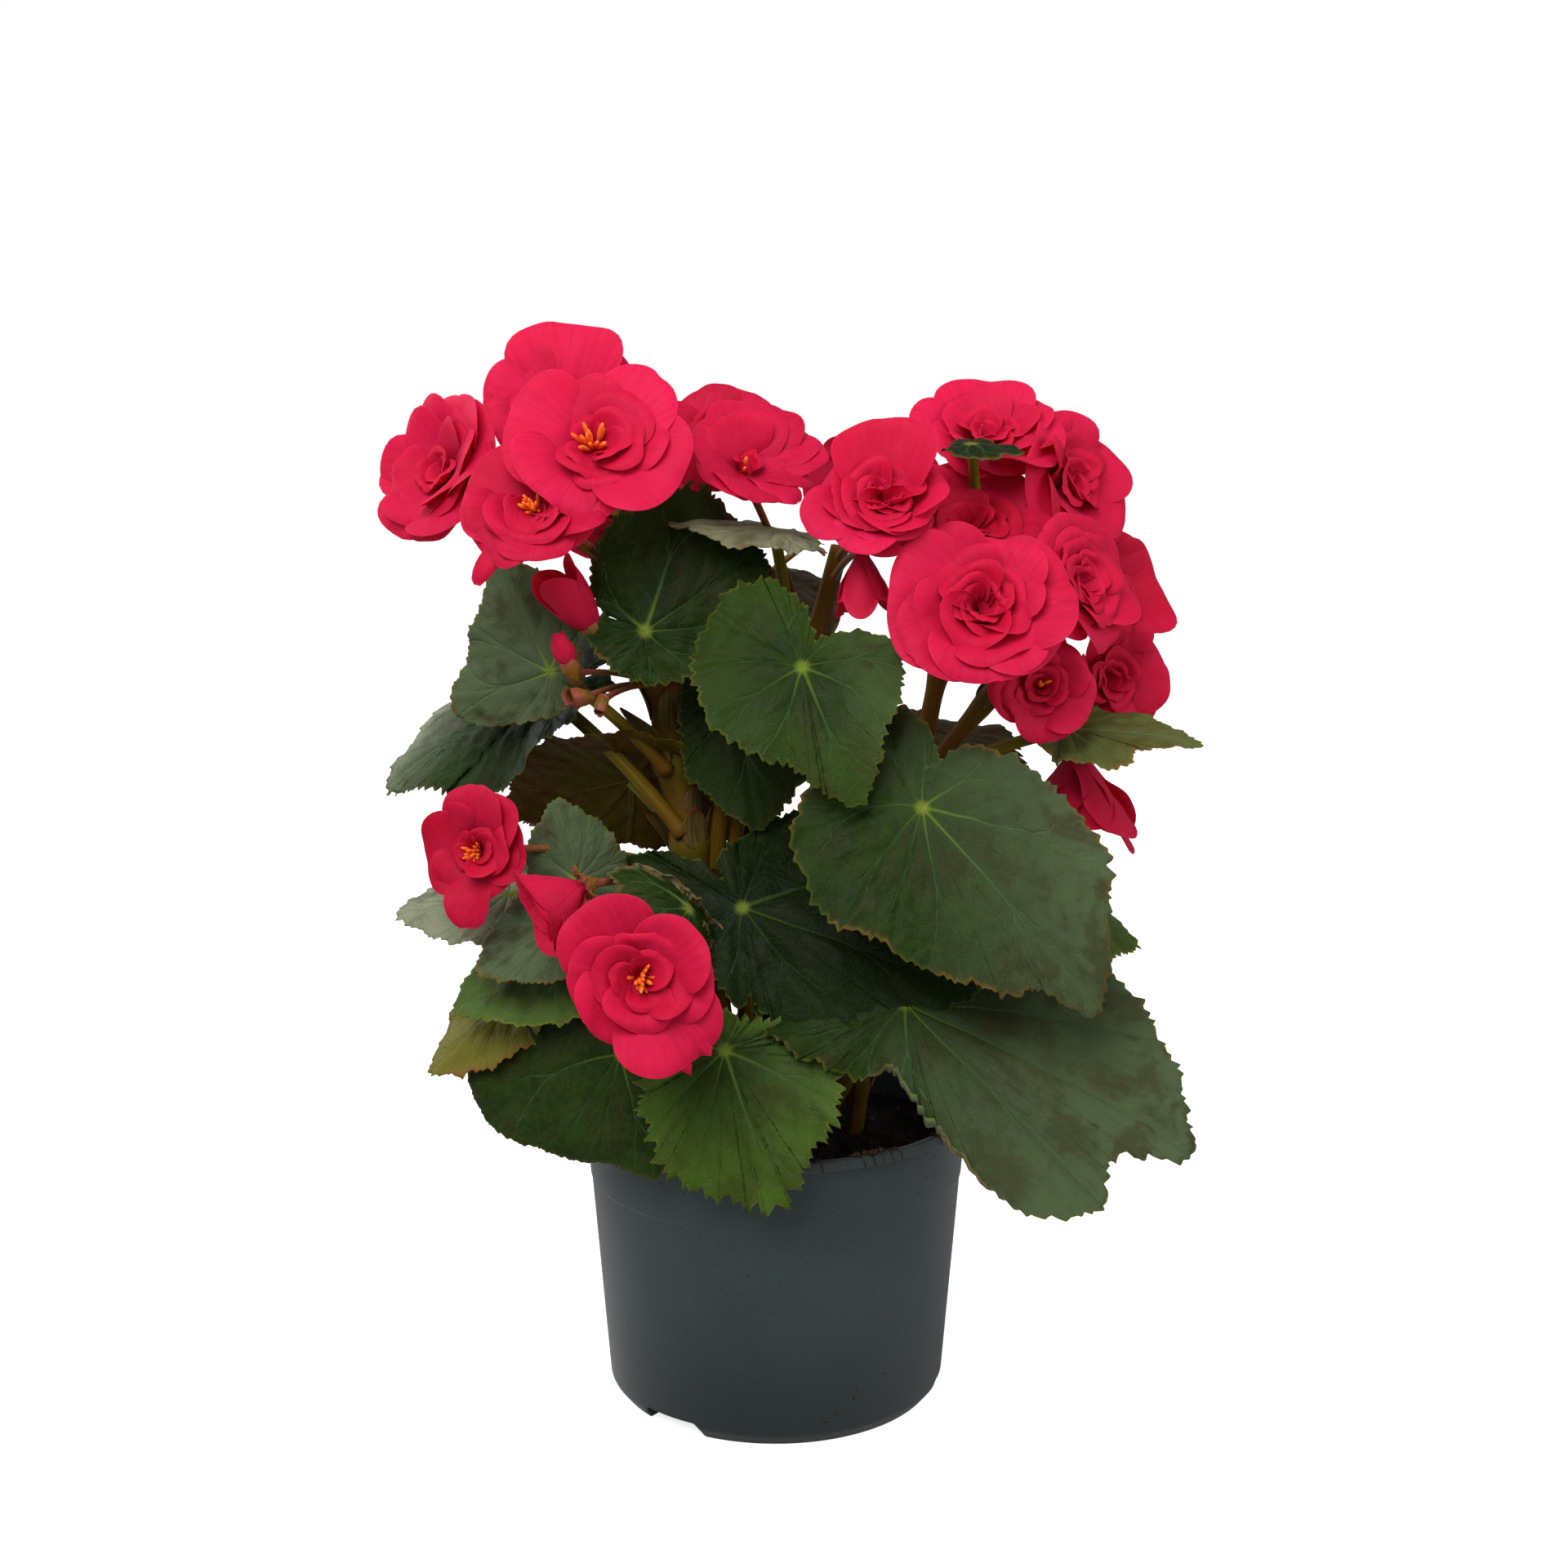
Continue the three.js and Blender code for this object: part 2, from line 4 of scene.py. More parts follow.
import bpy
import numpy as np
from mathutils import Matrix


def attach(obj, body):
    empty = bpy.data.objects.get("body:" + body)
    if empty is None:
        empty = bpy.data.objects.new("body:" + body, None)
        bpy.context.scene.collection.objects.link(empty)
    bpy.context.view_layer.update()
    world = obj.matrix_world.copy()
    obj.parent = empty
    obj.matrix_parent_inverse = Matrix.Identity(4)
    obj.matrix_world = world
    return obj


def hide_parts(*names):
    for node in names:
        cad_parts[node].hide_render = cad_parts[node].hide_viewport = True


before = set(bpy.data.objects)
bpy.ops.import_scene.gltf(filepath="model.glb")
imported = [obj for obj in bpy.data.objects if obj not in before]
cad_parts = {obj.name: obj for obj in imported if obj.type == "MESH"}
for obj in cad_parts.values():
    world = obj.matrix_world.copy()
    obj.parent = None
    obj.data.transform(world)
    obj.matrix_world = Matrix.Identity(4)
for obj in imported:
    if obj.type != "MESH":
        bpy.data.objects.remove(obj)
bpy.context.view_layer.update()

# ---- Camera and studio light ---------------------------------------------------------------------
# The plant stands on a pale sweep and is seen from a little above its own height. The light is that
# of a white room, with one large soft box above the front and a weaker one on each side.
MM = 0.001
CAMERA_AT = (2.67, -750, 350)
CAMERA_DOWN = 0.1936
FOCAL_LENGTH, SENSOR_WIDTH = 54.5, 36
ROOM_LIGHT = 0.42
SOFT_BOXES = [  # place and aim in millimetres, width in metres, watts
    ((-350, -900, 1150), (0, 0, 200), 0.9, 19.0),
    ((950, -500, 650), (0, 0, 200), 0.7, 5.0),
    ((-900, 500, 700), (0, 0, 200), 0.9, 6.0),
]

lens = bpy.data.cameras.new("photo_view")
lens.lens = FOCAL_LENGTH
lens.sensor_width = SENSOR_WIDTH
camera = bpy.data.objects.new("photo_view", lens)
camera.location = [c * MM for c in CAMERA_AT]
camera.rotation_euler = (math.pi / 2 - CAMERA_DOWN, 0, 0)
bpy.context.scene.collection.objects.link(camera)
bpy.context.scene.camera = camera
bpy.context.scene.view_settings.view_transform = "Standard"


def add_node(tree, kind, inputs=None, **settings):
    """Adds a shader node. Its inputs are numbers, colours or other nodes' values."""
    node = tree.nodes.new("ShaderNode" + kind)
    for name, value in settings.items():
        setattr(node, name, value)
    for name, value in (inputs or {}).items():
        value = getattr(value, "socket", value)
        if isinstance(value, bpy.types.NodeSocket):
            tree.links.new(value, node.inputs[name])
        else:
            node.inputs[name].default_value = value
    return node


for number, (place, aim, width, watts) in enumerate(SOFT_BOXES):
    lamp = bpy.data.lights.new(f"soft_box_{number}", "AREA")
    lamp.size = width
    lamp.energy = watts
    soft_box = bpy.data.objects.new(f"soft_box_{number}", lamp)
    soft_box.location = [c * MM for c in place]
    away = np.subtract(place, aim)
    lean = math.atan2(math.hypot(away[0], away[1]), away[2])
    soft_box.rotation_euler = (lean, 0, math.atan2(away[0], -away[1]))
    bpy.context.scene.collection.objects.link(soft_box)

room = bpy.data.worlds.new("white_room")
room.use_nodes = True
bpy.context.scene.world = room
room.node_tree.nodes.clear()
eye = add_node(room.node_tree, "LightPath").outputs["Is Camera Ray"]
glow = add_node(room.node_tree, "Mix", {0: eye, 2: ROOM_LIGHT, 3: 1.0})
white = add_node(room.node_tree, "Background", {"Color": (1, 1, 1, 1), "Strength": glow.outputs[0]})
add_node(room.node_tree, "OutputWorld", {"Surface": white.outputs[0]})

# ---- Pot -----------------------------------------------------------------------------------------
# A thin-walled nursery pot, injection moulded in charcoal plastic. It has a turned-out lip, a faint
# step below it, a foot ring cut away in three places, and four drain holes in its floor.
POT_PROFILE = [  # radius, height and rounding of each corner, from under the floor outwards
    (48.6, 5.5, 0.5), (48.6, 0, 0.5), (52.2, 0, 0.7), (55.5, 4, 1.2), (60.97, 74, 0.25), (61.3, 74.4, 0.25),
    (62.83, 94, 0.5), (65, 95, 0.45), (65, 98, 0.9), (62.3, 98, 0.9), (60.93, 94, 1.5), (54.2, 7.5, 1.5),
]
POT_UNDER, POT_FLOOR = 5.5, 7.5
POT_STEP = 5.0
POT_SIDES = 480
FOOT_CUTS = (-38, 82, 202)  # degrees from the front towards +X
FOOT_CUT_HALF, FOOT_CUT_SLOPE = 10.5, 2.5
FOOT_BAND, CUT_RADIUS = 51.5, 55.6  # where the foot ring begins, and the wall's radius above a cut
DRAIN_HOLES, DRAIN_CIRCLE, DRAIN_RADIUS = 4, 30, 4
DRILL_FROM, DRILL_TO, DRILL_SIDES = 2.0, 11.0, 40


def paint(red, green, blue):
    """A shader colour for a colour as a screen shows it, 0 to 255."""
    shares = (c / 255 for c in (red, green, blue))
    return (*(c / 12.92 if c < 0.04045 else ((c + 0.055) / 1.055) ** 2.4 for c in shares), 1)


class Value:
    """A node's socket that the signs + - * / calculate with. Each sign is one more node."""

    def __init__(self, socket):
        self.socket = socket

    def __add__(self, other):
        return calc("ADD", self, other)

    def __sub__(self, other):
        return calc("SUBTRACT", self, other)

    def __rsub__(self, other):
        return calc("SUBTRACT", other, self)

    def __mul__(self, other):
        return calc("MULTIPLY", self, other)

    def __truediv__(self, other):
        return calc("DIVIDE", self, other)


def home_of(*values):
    """The shader that these values are in. Some of them may be plain numbers or colours."""
    return next(value.socket.id_data for value in values if isinstance(value, Value))


def calc(operation, *values):
    """One step of arithmetic in a shader."""
    node = add_node(home_of(*values), "Math", dict(enumerate(values)), operation=operation)
    return Value(node.outputs[0])


def clamped(value):
    """Keeps the result of a step between 0 and 1."""
    value.socket.node.use_clamp = True
    return value


def ease(value, low, high, start=0.0, end=1.0):
    """Start below low, end above high, and a smooth change between them."""
    inputs = {"Value": value, "From Min": low, "From Max": high, "To Min": start, "To Max": end}
    return Value(add_node(home_of(value), "MapRange", inputs, interpolation_type="SMOOTHSTEP").outputs[0])


def tint(mask, under, over):
    """Lays the colour over on the colour under, where the mask says."""
    inputs = {0: mask, 6: under, 7: over}
    return Value(add_node(home_of(mask, under), "Mix", inputs, data_type="RGBA").outputs[2])


def finish_of(name, values):
    """A new material with these values on its Principled shader."""
    material = bpy.data.materials.new(name)
    material.use_nodes = True
    shader = material.node_tree.nodes["Principled BSDF"]
    for socket, value in values.items():
        shader.inputs[socket].default_value = value
    return material, material.node_tree, shader


def dress(shader, colour, roughness=None, relief=None, strength=0.4, depth=0.0005):
    """Feeds a finish its colour, its roughness and its relief, whose full depth is in metres."""
    tree = shader.id_data
    tree.links.new(colour.socket, shader.inputs["Base Color"])
    if roughness:
        tree.links.new(roughness.socket, shader.inputs["Roughness"])
    if relief:
        bump = add_node(tree, "Bump", {"Height": relief, "Strength": strength, "Distance": depth})
        tree.links.new(bump.outputs[0], shader.inputs["Normal"])


def group_of(name, inputs, output):
    """A new shader node group, its inputs as sockets to read and its one output as a socket to feed."""
    group = bpy.data.node_groups.new(name, "ShaderNodeTree")
    for label, value in inputs.items():
        socket = group.interface.new_socket(label, in_out="INPUT", socket_type="NodeSocketFloat")
        socket.default_value = value
    group.interface.new_socket(output, in_out="OUTPUT", socket_type="NodeSocketFloat")
    return group, group.nodes.new("NodeGroupInput").outputs, group.nodes.new("NodeGroupOutput").inputs[0]


def placed(tree, group, inputs):
    """Puts a node group into a material with its own values."""
    return Value(add_node(tree, "Group", inputs, node_tree=group).outputs[0])


# Cloudy unevenness at two sizes. The scales are features per metre.
mottle, given, out = group_of("Mottle", {"Broad": 60.0, "Fine": 900.0, "Fine share": 0.4}, "Value")
spot = add_node(mottle, "TexCoord").outputs["Object"]
clouds = add_node(mottle, "TexNoise", {"Vector": spot, "Scale": given["Broad"], "Detail": 3.0}).outputs[0]
grain = add_node(mottle, "TexNoise", {"Vector": spot, "Scale": given["Fine"], "Detail": 2.0}).outputs[0]
mixed = add_node(mottle, "Mix", {0: given["Fine share"], 2: clouds, 3: grain}).outputs[0]
mottle.links.new(mixed, out)


def mottled(tree, broad, fine, share):
    """Cloudy unevenness in a material."""
    return placed(tree, mottle, {"Broad": broad, "Fine": fine, "Fine share": share})


# Loose specks of soil, thick where Amount is high.
specks, given, out = group_of("Soil specks", {"Size": 500.0, "Amount": 0.1}, "Mask")
spot = add_node(specks, "TexCoord").outputs["Object"]
wobble = Value(add_node(specks, "TexNoise", {"Vector": spot, "Scale": 2500.0, "Detail": 1.0}).outputs[0])
cells = add_node(specks, "TexVoronoi", {"Vector": spot, "Scale": given["Size"], "Randomness": 1.0})
chance = Value(add_node(specks, "SeparateColor", {0: cells.outputs["Color"]}).outputs[0])
ragged = wobble * 0.45 + cells.outputs["Distance"]
shown = ease(ragged, 0.3, 0.55, 1.0, 0.0) * calc("LESS_THAN", chance, given["Amount"])
specks.links.new(shown.socket, out)


class Piece:
    """The skins of one piece, in millimetres, gathered until they become its mesh."""

    def __init__(self):
        self.points, self.faces, self.looks = [], [], []
        self.marks = {"place": [], "nature": []}
        self.count = 0

    def add(self, rings, start, end, look=0, place=(0, 0, 0, 0), nature=(0, 0, 0, 0)):
        """A closed skin over rings of points, drawn to one point at each end. The finish reads place and
        nature, which are four numbers, each of them one for the whole skin or one for each point."""
        rings = np.asarray(rings, float)
        rows, sides = rings.shape[:2]
        here = 1 + self.count + np.arange(rows * sides).reshape(rows, sides)
        ahead = np.roll(here, -1, axis=1)
        last = self.count + rows * sides + 1
        faces = np.stack([here[:-1], ahead[:-1], ahead[1:], here[1:]], -1).reshape(-1, 4).tolist()
        faces += [(self.count, b, a) for a, b in zip(here[0].tolist(), ahead[0].tolist())]
        faces += [(last, a, b) for a, b in zip(here[-1].tolist(), ahead[-1].tolist())]
        self.faces += faces
        self.looks += [look] * len(faces)
        self.points.append(np.vstack([[start], rings.reshape(-1, 3), [end]]))
        for mark, values in (("place", place), ("nature", nature)):
            self.marks[mark].append(np.stack([np.broadcast_to(v, rows * sides + 2) for v in values], -1))
        self.count = last + 1

    def made(self, name, *finishes):
        """The Blender object, smooth, with its finishes."""
        mesh = bpy.data.meshes.new(name)
        mesh.from_pydata((np.vstack(self.points) * MM).tolist(), [], self.faces)
        for mark, values in self.marks.items():
            layer = mesh.attributes.new(mark, "FLOAT_COLOR", "POINT")
            layer.data.foreach_set("color", np.vstack(values).astype(float).ravel())
        for finish in finishes:
            mesh.materials.append(finish)
        mesh.polygons.foreach_set("material_index", self.looks)
        mesh.shade_smooth()
        piece = bpy.data.objects.new(name, mesh)
        bpy.context.scene.collection.objects.link(piece)
        return piece


def rounded(corners, step):
    """A profile with its corners rounded and its long stretches cut into steps."""
    line = []
    for i, (r, z, soft) in enumerate(corners):
        here = np.array((r, z))
        for other in (corners[i - 1] if i else None, corners[i + 1] if i + 1 < len(corners) else None):
            if other is not None:
                toward = np.subtract(other[:2], here)
                line.append(here + toward * soft / np.linalg.norm(toward))
            else:
                line.append(here)
        before, after = line[-2:]
        line[-1:] = [
            (1 - t) ** 2 * before + 2 * t * (1 - t) * here + t * t * after for t in (0.25, 0.5, 0.75, 1)
        ]
    fine = [line[0]]
    for point in line[1:]:
        pieces = max(1, round(np.linalg.norm(point - fine[-1]) / step))
        fine += [fine[-1] + (point - fine[-1]) * k / pieces for k in range(1, pieces + 1)]
    return np.array(fine)


def turned(profile, sides):
    """Rings of points for a profile of radius and height turned around the upright axis."""
    turn = 2 * np.pi * np.arange(sides) / sides
    r, z = profile[:, :1], profile[:, 1:]
    return np.stack([r * np.cos(turn), r * np.sin(turn), z + 0 * turn], -1)


pot_rings = turned(rounded(POT_PROFILE, POT_STEP), POT_SIDES)
x, y, z = np.moveaxis(pot_rings, -1, 0)
for azimuth in np.radians(FOOT_CUTS):
    aside = x * np.cos(azimuth) + y * np.sin(azimuth)
    outward = x * np.sin(azimuth) - y * np.cos(azimuth)
    within = np.clip((FOOT_CUT_HALF + FOOT_CUT_SLOPE / 2 - np.abs(aside)) / FOOT_CUT_SLOPE, 0, 1)
    rise = np.where((outward > 0) & (z < POT_UNDER), within * within * (3 - 2 * within), 0)
    radius = np.hypot(x, y)
    wider = np.where(radius > FOOT_BAND, 1 + rise * (CUT_RADIUS / radius - 1), 1)
    x, y, z = x * wider, y * wider, z + rise * (POT_UNDER - z)
pot_piece = Piece()
pot_piece.add(np.stack([x, y, z], -1), (0, 0, POT_UNDER), (0, 0, POT_FLOOR))

plastic, tree, shader = finish_of("charcoal_plastic", {"Specular IOR Level": 0.32, "Sheen Weight": 0.13})
cloud = mottled(tree, 22.0, 1400.0, 0.45)
spot = add_node(tree, "TexCoord").outputs["Object"]
height = Value(add_node(tree, "SeparateXYZ", {0: spot}).outputs["Z"])
colour = tint(ease(cloud, 0.35, 0.65), paint(37, 49, 50), paint(47, 59, 60))
# Painted shade, darker towards the bottom where the floor's shadow falls.
foot = ease(height, 0.0, 0.065, 0.85, 0.0)
colour = tint(foot, colour, paint(20, 28, 30))
near_rim = ease(height, 0.07, 0.1, 0.012, 0.16)
dirt = placed(tree, specks, {"Size": 420.0, "Amount": near_rim})
film = mottled(tree, 90.0, 700.0, 0.5)
dusty = ease(film, 0.5, 0.7) * ease(height, 0.085, 0.099, 0.0, 0.35)
colour = tint(dusty, colour, paint(74, 62, 50))
colour = tint(dirt * 0.8, colour, paint(46, 34, 24))
rough = clamped(ease(cloud, 0.3, 0.7, 0.36, 0.5) + dirt * 0.35)
pores = Value(add_node(tree, "TexNoise", {"Scale": 2600.0, "Detail": 2.0, "Vector": spot}).outputs[0])
relief = pores * 0.25 + dirt * 0.8
dress(shader, colour, rough, relief, 0.35, 0.0004)

pot = pot_piece.made("pot_fine", plastic)
drains = Piece()
for number in range(DRAIN_HOLES):
    azimuth = 2 * math.pi * (number + 0.5) / DRAIN_HOLES
    drill = turned(np.array([(DRAIN_RADIUS, DRILL_FROM), (DRAIN_RADIUS, DRILL_TO)]), DRILL_SIDES)
    shift = np.array((DRAIN_CIRCLE * math.cos(azimuth), DRAIN_CIRCLE * math.sin(azimuth), 0))
    drains.add(drill + shift, shift + (0, 0, DRILL_FROM), shift + (0, 0, DRILL_TO))
drill = drains.made("drain_drill")
bore = pot.modifiers.new("drains", "BOOLEAN")
bore.object = drill
bore.solver = "EXACT"
bored = bpy.data.meshes.new_from_object(pot.evaluated_get(bpy.context.evaluated_depsgraph_get()))
pot.modifiers.clear()
pot.data = bored
bpy.data.objects.remove(drill)
bored.shade_smooth()
bored.set_sharp_from_angle(angle=math.radians(40))
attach(pot, "root")
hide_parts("pot")

# ---- Peat root ball ------------------------------------------------------------------------------
# Moist, nearly black peat that fills the pot to a finger's width below its lip. Its top is lumpy,
# with brown crumbs and fibres, and a few crumbs lie on the lip where the plant was potted.
PEAT_SIDE = [(54.0, 7.9), (56.6, 40), (58.6, 70), (59.4, 82)]
PEAT_EDGE_Z, PEAT_CROWN, PEAT_LUMPS = 83, 3, 2.2
PEAT_RADIUS, PEAT_SIDES, PEAT_RINGS = 59.2, 168, 40
CRUMBS, CRUMBS_WITHIN, CRUMB_SIZES = 420, 57, (0.5, 2.6)
FIBRES, FIBRES_WITHIN, FIBRE_LENGTHS, FIBRE_RADIUS = 90, 55, (4, 11), 0.13
LIP_TOP, LIP_MIDDLE = 98, 63.4
LIP_CRUMBS = [  # azimuth from the front towards +X, and size
    (12, 1.3), (24, 1.9), (27, 2.4), (30, 2.0), (33, 1.5), (36, 1.1), (52, 1.2), (-100, 1.0), (150, 1.4),
]
LIP_FIBRE = [  # radius, turn and rise of a fibre that hangs over the lip
    (60.5, 0.02, -2.5), (62.2, 0.01, 0.3), (64, 0, 0.5), (65.6, 0.01, -0.8), (65.7, 0.015, -3),
]
LIP_FIBRE_RADIUS = 0.2
WALL_FOOT_RADIUS, WALL_FLARE = 55.3, 0.078
WALL_SPECKS = [  # azimuth, height and size
    (16, 9, 1.3), (20, 11, 0.9), (26, 15, 1.2), (27, 18, 0.7), (37, 21, 0.7), (31, 52, 0.6), (-8, 60, 0.5),
]


def hills(x, y, size, seed):
    """A smooth random height between about -1 and 1, with hills of roughly this size."""
    luck = random.Random(seed)
    total = 0
    for _ in range(6):
        way, phase = luck.uniform(0, math.tau), luck.uniform(0, math.tau)
        pitch = math.tau / size * luck.uniform(0.6, 1.5)
        total = total + np.sin((x * math.cos(way) + y * math.sin(way)) * pitch + phase)
    return total / 3


def peat_height(x, y):
    r = np.hypot(x, y)
    lumps = hills(x, y, 22, 1) + 0.55 * hills(x, y, 8, 2) + 0.35 * hills(x, y, 3.4, 3)
    return PEAT_EDGE_Z + PEAT_CROWN * (1 - r / 60) + PEAT_LUMPS * lumps * np.clip((60 - r) / 8, 0.25, 1) * 0.6


def lump(piece, at, size, luck, look):
    """A rough crumb."""
    squash = [luck.uniform(0.6, 1.2) for _ in range(3)]
    rings = []
    for lean in (35, 75, 110, 150):
        spin = luck.uniform(0, 0.9)
        ring = []
        for k in range(7):
            turn = math.tau * k / 7 + spin
            reach = size / 2 * luck.uniform(0.65, 1.25)
            low = math.sin(math.radians(lean))
            height = -reach * math.cos(math.radians(lean))
            ring.append((reach * low * math.cos(turn), reach * low * math.sin(turn), height))
        rings.append(ring)
    half = size * squash[2] / 2
    piece.add(np.array(rings) * squash + at, np.add(at, (0, 0, -half)), np.add(at, (0, 0, half)), look)


def tube(path, radii, sides):
    """Rings around a path of points, with a radius for each, or for each point of each ring."""
    path = np.asarray(path, float)
    radii = np.asarray(radii, float).reshape(len(path), -1, 1)
    ahead = np.gradient(path, axis=0)
    ahead /= np.linalg.norm(ahead, axis=1, keepdims=True)
    side = np.cross(ahead[0], (0.3, 1, 0.2))
    turn = 2 * np.pi * np.arange(sides)[:, None] / sides
    rings = []
    for at, way, reach in zip(path, ahead, radii):
        side = side - way * (side @ way)
        side /= np.linalg.norm(side)
        rings.append(at + reach * (np.cos(turn) * side + np.sin(turn) * np.cross(way, side)))
    return rings


root_ball = Piece()
r = np.linspace(PEAT_RADIUS, 0.6, PEAT_RINGS)
top = turned(np.stack([r, 0 * r], -1), PEAT_SIDES)
top[..., 2] = peat_height(top[..., 0], top[..., 1])
side = turned(np.array(PEAT_SIDE), PEAT_SIDES)
root_ball.add(np.concatenate([side, top]), (0, 0, PEAT_SIDE[0][1]), (0, 0, PEAT_EDGE_Z + PEAT_CROWN))
luck = random.Random(11)
for _ in range(CRUMBS):
    reach, turn = CRUMBS_WITHIN * math.sqrt(luck.random()), luck.uniform(0, math.tau)
    x, y = reach * math.cos(turn), reach * math.sin(turn)
    size = luck.uniform(*CRUMB_SIZES) * luck.uniform(0.6, 1)
    lump(root_ball, (x, y, peat_height(x, y) + 0.2 * size), size, luck, 1 if luck.random() < 0.5 else 0)
for _ in range(FIBRES):
    reach, turn = FIBRES_WITHIN * math.sqrt(luck.random()), luck.uniform(0, math.tau)
    way, run = luck.uniform(0, math.tau), luck.uniform(*FIBRE_LENGTHS)
    path = []
    for t in np.linspace(-0.5, 0.5, 6):
        x = reach * math.cos(turn) + run * t * math.cos(way)
        y = reach * math.sin(turn) + run * t * math.sin(way) + luck.uniform(-0.5, 0.5)
        pull = min(1, CRUMBS_WITHIN / math.hypot(x, y))
        path.append((x * pull, y * pull, peat_height(x * pull, y * pull) + luck.uniform(0.3, 1.4)))
    root_ball.add(tube(path, [FIBRE_RADIUS] * len(path), 4), path[0], path[-1], 1)

peat, tree, shader = finish_of("moist_peat", {"Roughness": 0.85, "Specular IOR Level": 0.25})
cloud = mottled(tree, 220.0, 1500.0, 0.5)
colour = tint(ease(cloud, 0.4, 0.68), paint(5, 5, 4), paint(24, 18, 12))
dress(shader, colour, relief=cloud, strength=0.9, depth=0.0012)

crumb, tree, shader = finish_of("dry_peat_crumbs", {"Roughness": 0.9, "Specular IOR Level": 0.2})
cloud = mottled(tree, 260.0, 1800.0, 0.5)
colour = tint(ease(cloud, 0.35, 0.65), paint(22, 15, 10), paint(70, 50, 34))
dress(shader, colour, relief=cloud, strength=0.9, depth=0.0008)

root_ball = root_ball.made("peat_fine", peat, crumb)
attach(root_ball, "root")
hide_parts("peat_root_ball")

spilled = Piece()
luck = random.Random(12)
for azimuth, size in LIP_CRUMBS:
    for _ in range(5):
        turn = math.radians(azimuth - 90 + luck.uniform(-3, 3))
        reach = LIP_MIDDLE + luck.uniform(-0.8, 0.8)
        small = size * luck.uniform(0.5, 1)
        lump(spilled, (reach * math.cos(turn), reach * math.sin(turn), LIP_TOP + 0.4 * small), small, luck, 0)
    turn = math.radians(azimuth - 90)
    path = [
        (reach * math.cos(turn + lean), reach * math.sin(turn + lean), LIP_TOP + rise)
        for reach, lean, rise in LIP_FIBRE
    ]
    spilled.add(tube(path, [LIP_FIBRE_RADIUS] * len(path), 5), path[0], path[-1])
for azimuth, height, size in WALL_SPECKS:
    turn, reach = math.radians(azimuth - 90), WALL_FOOT_RADIUS + WALL_FLARE * height
    lump(spilled, (reach * math.cos(turn), reach * math.sin(turn), height), size, luck, 0)
spilled = spilled.made("spilled_peat", crumb)
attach(spilled, "root")

# ---- Stems ---------------------------------------------------------------------------------------
# Five fleshy stems, olive to rust brown. They are swollen where leaf stalks spring from them, and a
# pair of papery brown scales stands at each such joint.
STEMS = [  # name, radius, the way it grows, and the heights of its joints
    ("stem_main", 6.1, [(-15, 0, 72), (-19, -6, 113), (-26, -12, 179), (-32, -8, 210), (-42, -6, 282)],
     [96, 120, 142, 164, 186, 212, 238, 264]),
    ("stem_centre", 3.6,
     [(2, 8, 72), (-7, 2, 140), (-11, -3, 177), (-1, 0, 203), (7, 0, 230), (20, -10, 280)],
     [100, 130, 158, 192, 222, 250]),
    ("stem_right", 3.3,
     [(24, 2, 72), (34, 0, 150), (44, -2, 195), (53, -9, 214), (66, -14, 232), (74, -18, 244)],
     [104, 138, 172, 206, 232]),
    ("stem_right_inner", 3.3,
     [(13, 18, 72), (38, 12, 160), (47, 4, 205), (50, 2, 228), (58, 0, 262), (66, -2, 285)],
     [108, 140, 178, 210, 240, 262]),
    ("stem_back", 3.8, [(-6, 24, 72), (-2, 38, 140), (-8, 46, 210), (-6, 52, 268)],
     [106, 134, 164, 190, 218, 244]),
]
STEM_SIDES, STEM_RINGS, SHOOT_RINGS = 28, 150, 40
STEM_TAPER, SHOOT_TAPER = (1.06, 0.8), (1.15, 0.7)
JOINT_SWELLING, JOINT_LENGTH = 0.3, 5.0
SCALE_LENGTH, SCALE_WIDTH, SCALE_SPACING = 2.4, 1.9, 2.4  # in radii of the stem, and the turn between a pair
SCALE_REACHES, SCALE_POINTS, SCALE_THICKNESS = [0.35, 0.7, 0.9, 1], 26, 0.3
BROAD_SCALES = {  # the joint's height, the scale's azimuth, length and width
    "stem_main": [
        (168, -62, 14, 14), (186, -22, 13, 6), (196, -40, 10, 9), (224, -66, 15, 10), (210, -150, 24, 16),
        (228, 172, 18, 12)],
    "stem_centre": [(196, -80, 13, 9), (206, -55, 11, 7), (186, -100, 12, 8)],
}
SHOOTS = {  # side shoots: radius and path
    "stem_main": [
        (2.6, [(-21, -8, 158), (-15, -11, 177), (-11, -12, 196), (-5, -12, 212)]),
        (2.9, [(-22, -9, 163), (-19, -13, 180), (-17, -13, 200), (-12, -9, 222)])],
}


def smooth_path(corners, count):
    """A smooth curve through the corners, as count points."""
    corners = np.asarray(corners, float)
    gaps = np.sqrt(np.linalg.norm(np.diff(corners, axis=0), axis=1))
    at = np.concatenate([[0], np.cumsum(gaps)])
    slopes = np.gradient(corners, at, axis=0)
    where = np.linspace(0, at[-1], count)
    i = np.clip(np.searchsorted(at, where, "right") - 1, 0, len(gaps) - 1)
    width = gaps[i][:, None]
    t = ((where - at[i])[:, None]) / width
    start, end = corners[i], corners[i + 1]
    return (
        (2 * t**3 - 3 * t**2 + 1) * start + (t**3 - 2 * t**2 + t) * width * slopes[i]
        + (3 * t**2 - 2 * t**3) * end + (t**3 - t**2) * width * slopes[i + 1]
    )


def unit(v):
    return np.asarray(v, float) / np.linalg.norm(v)


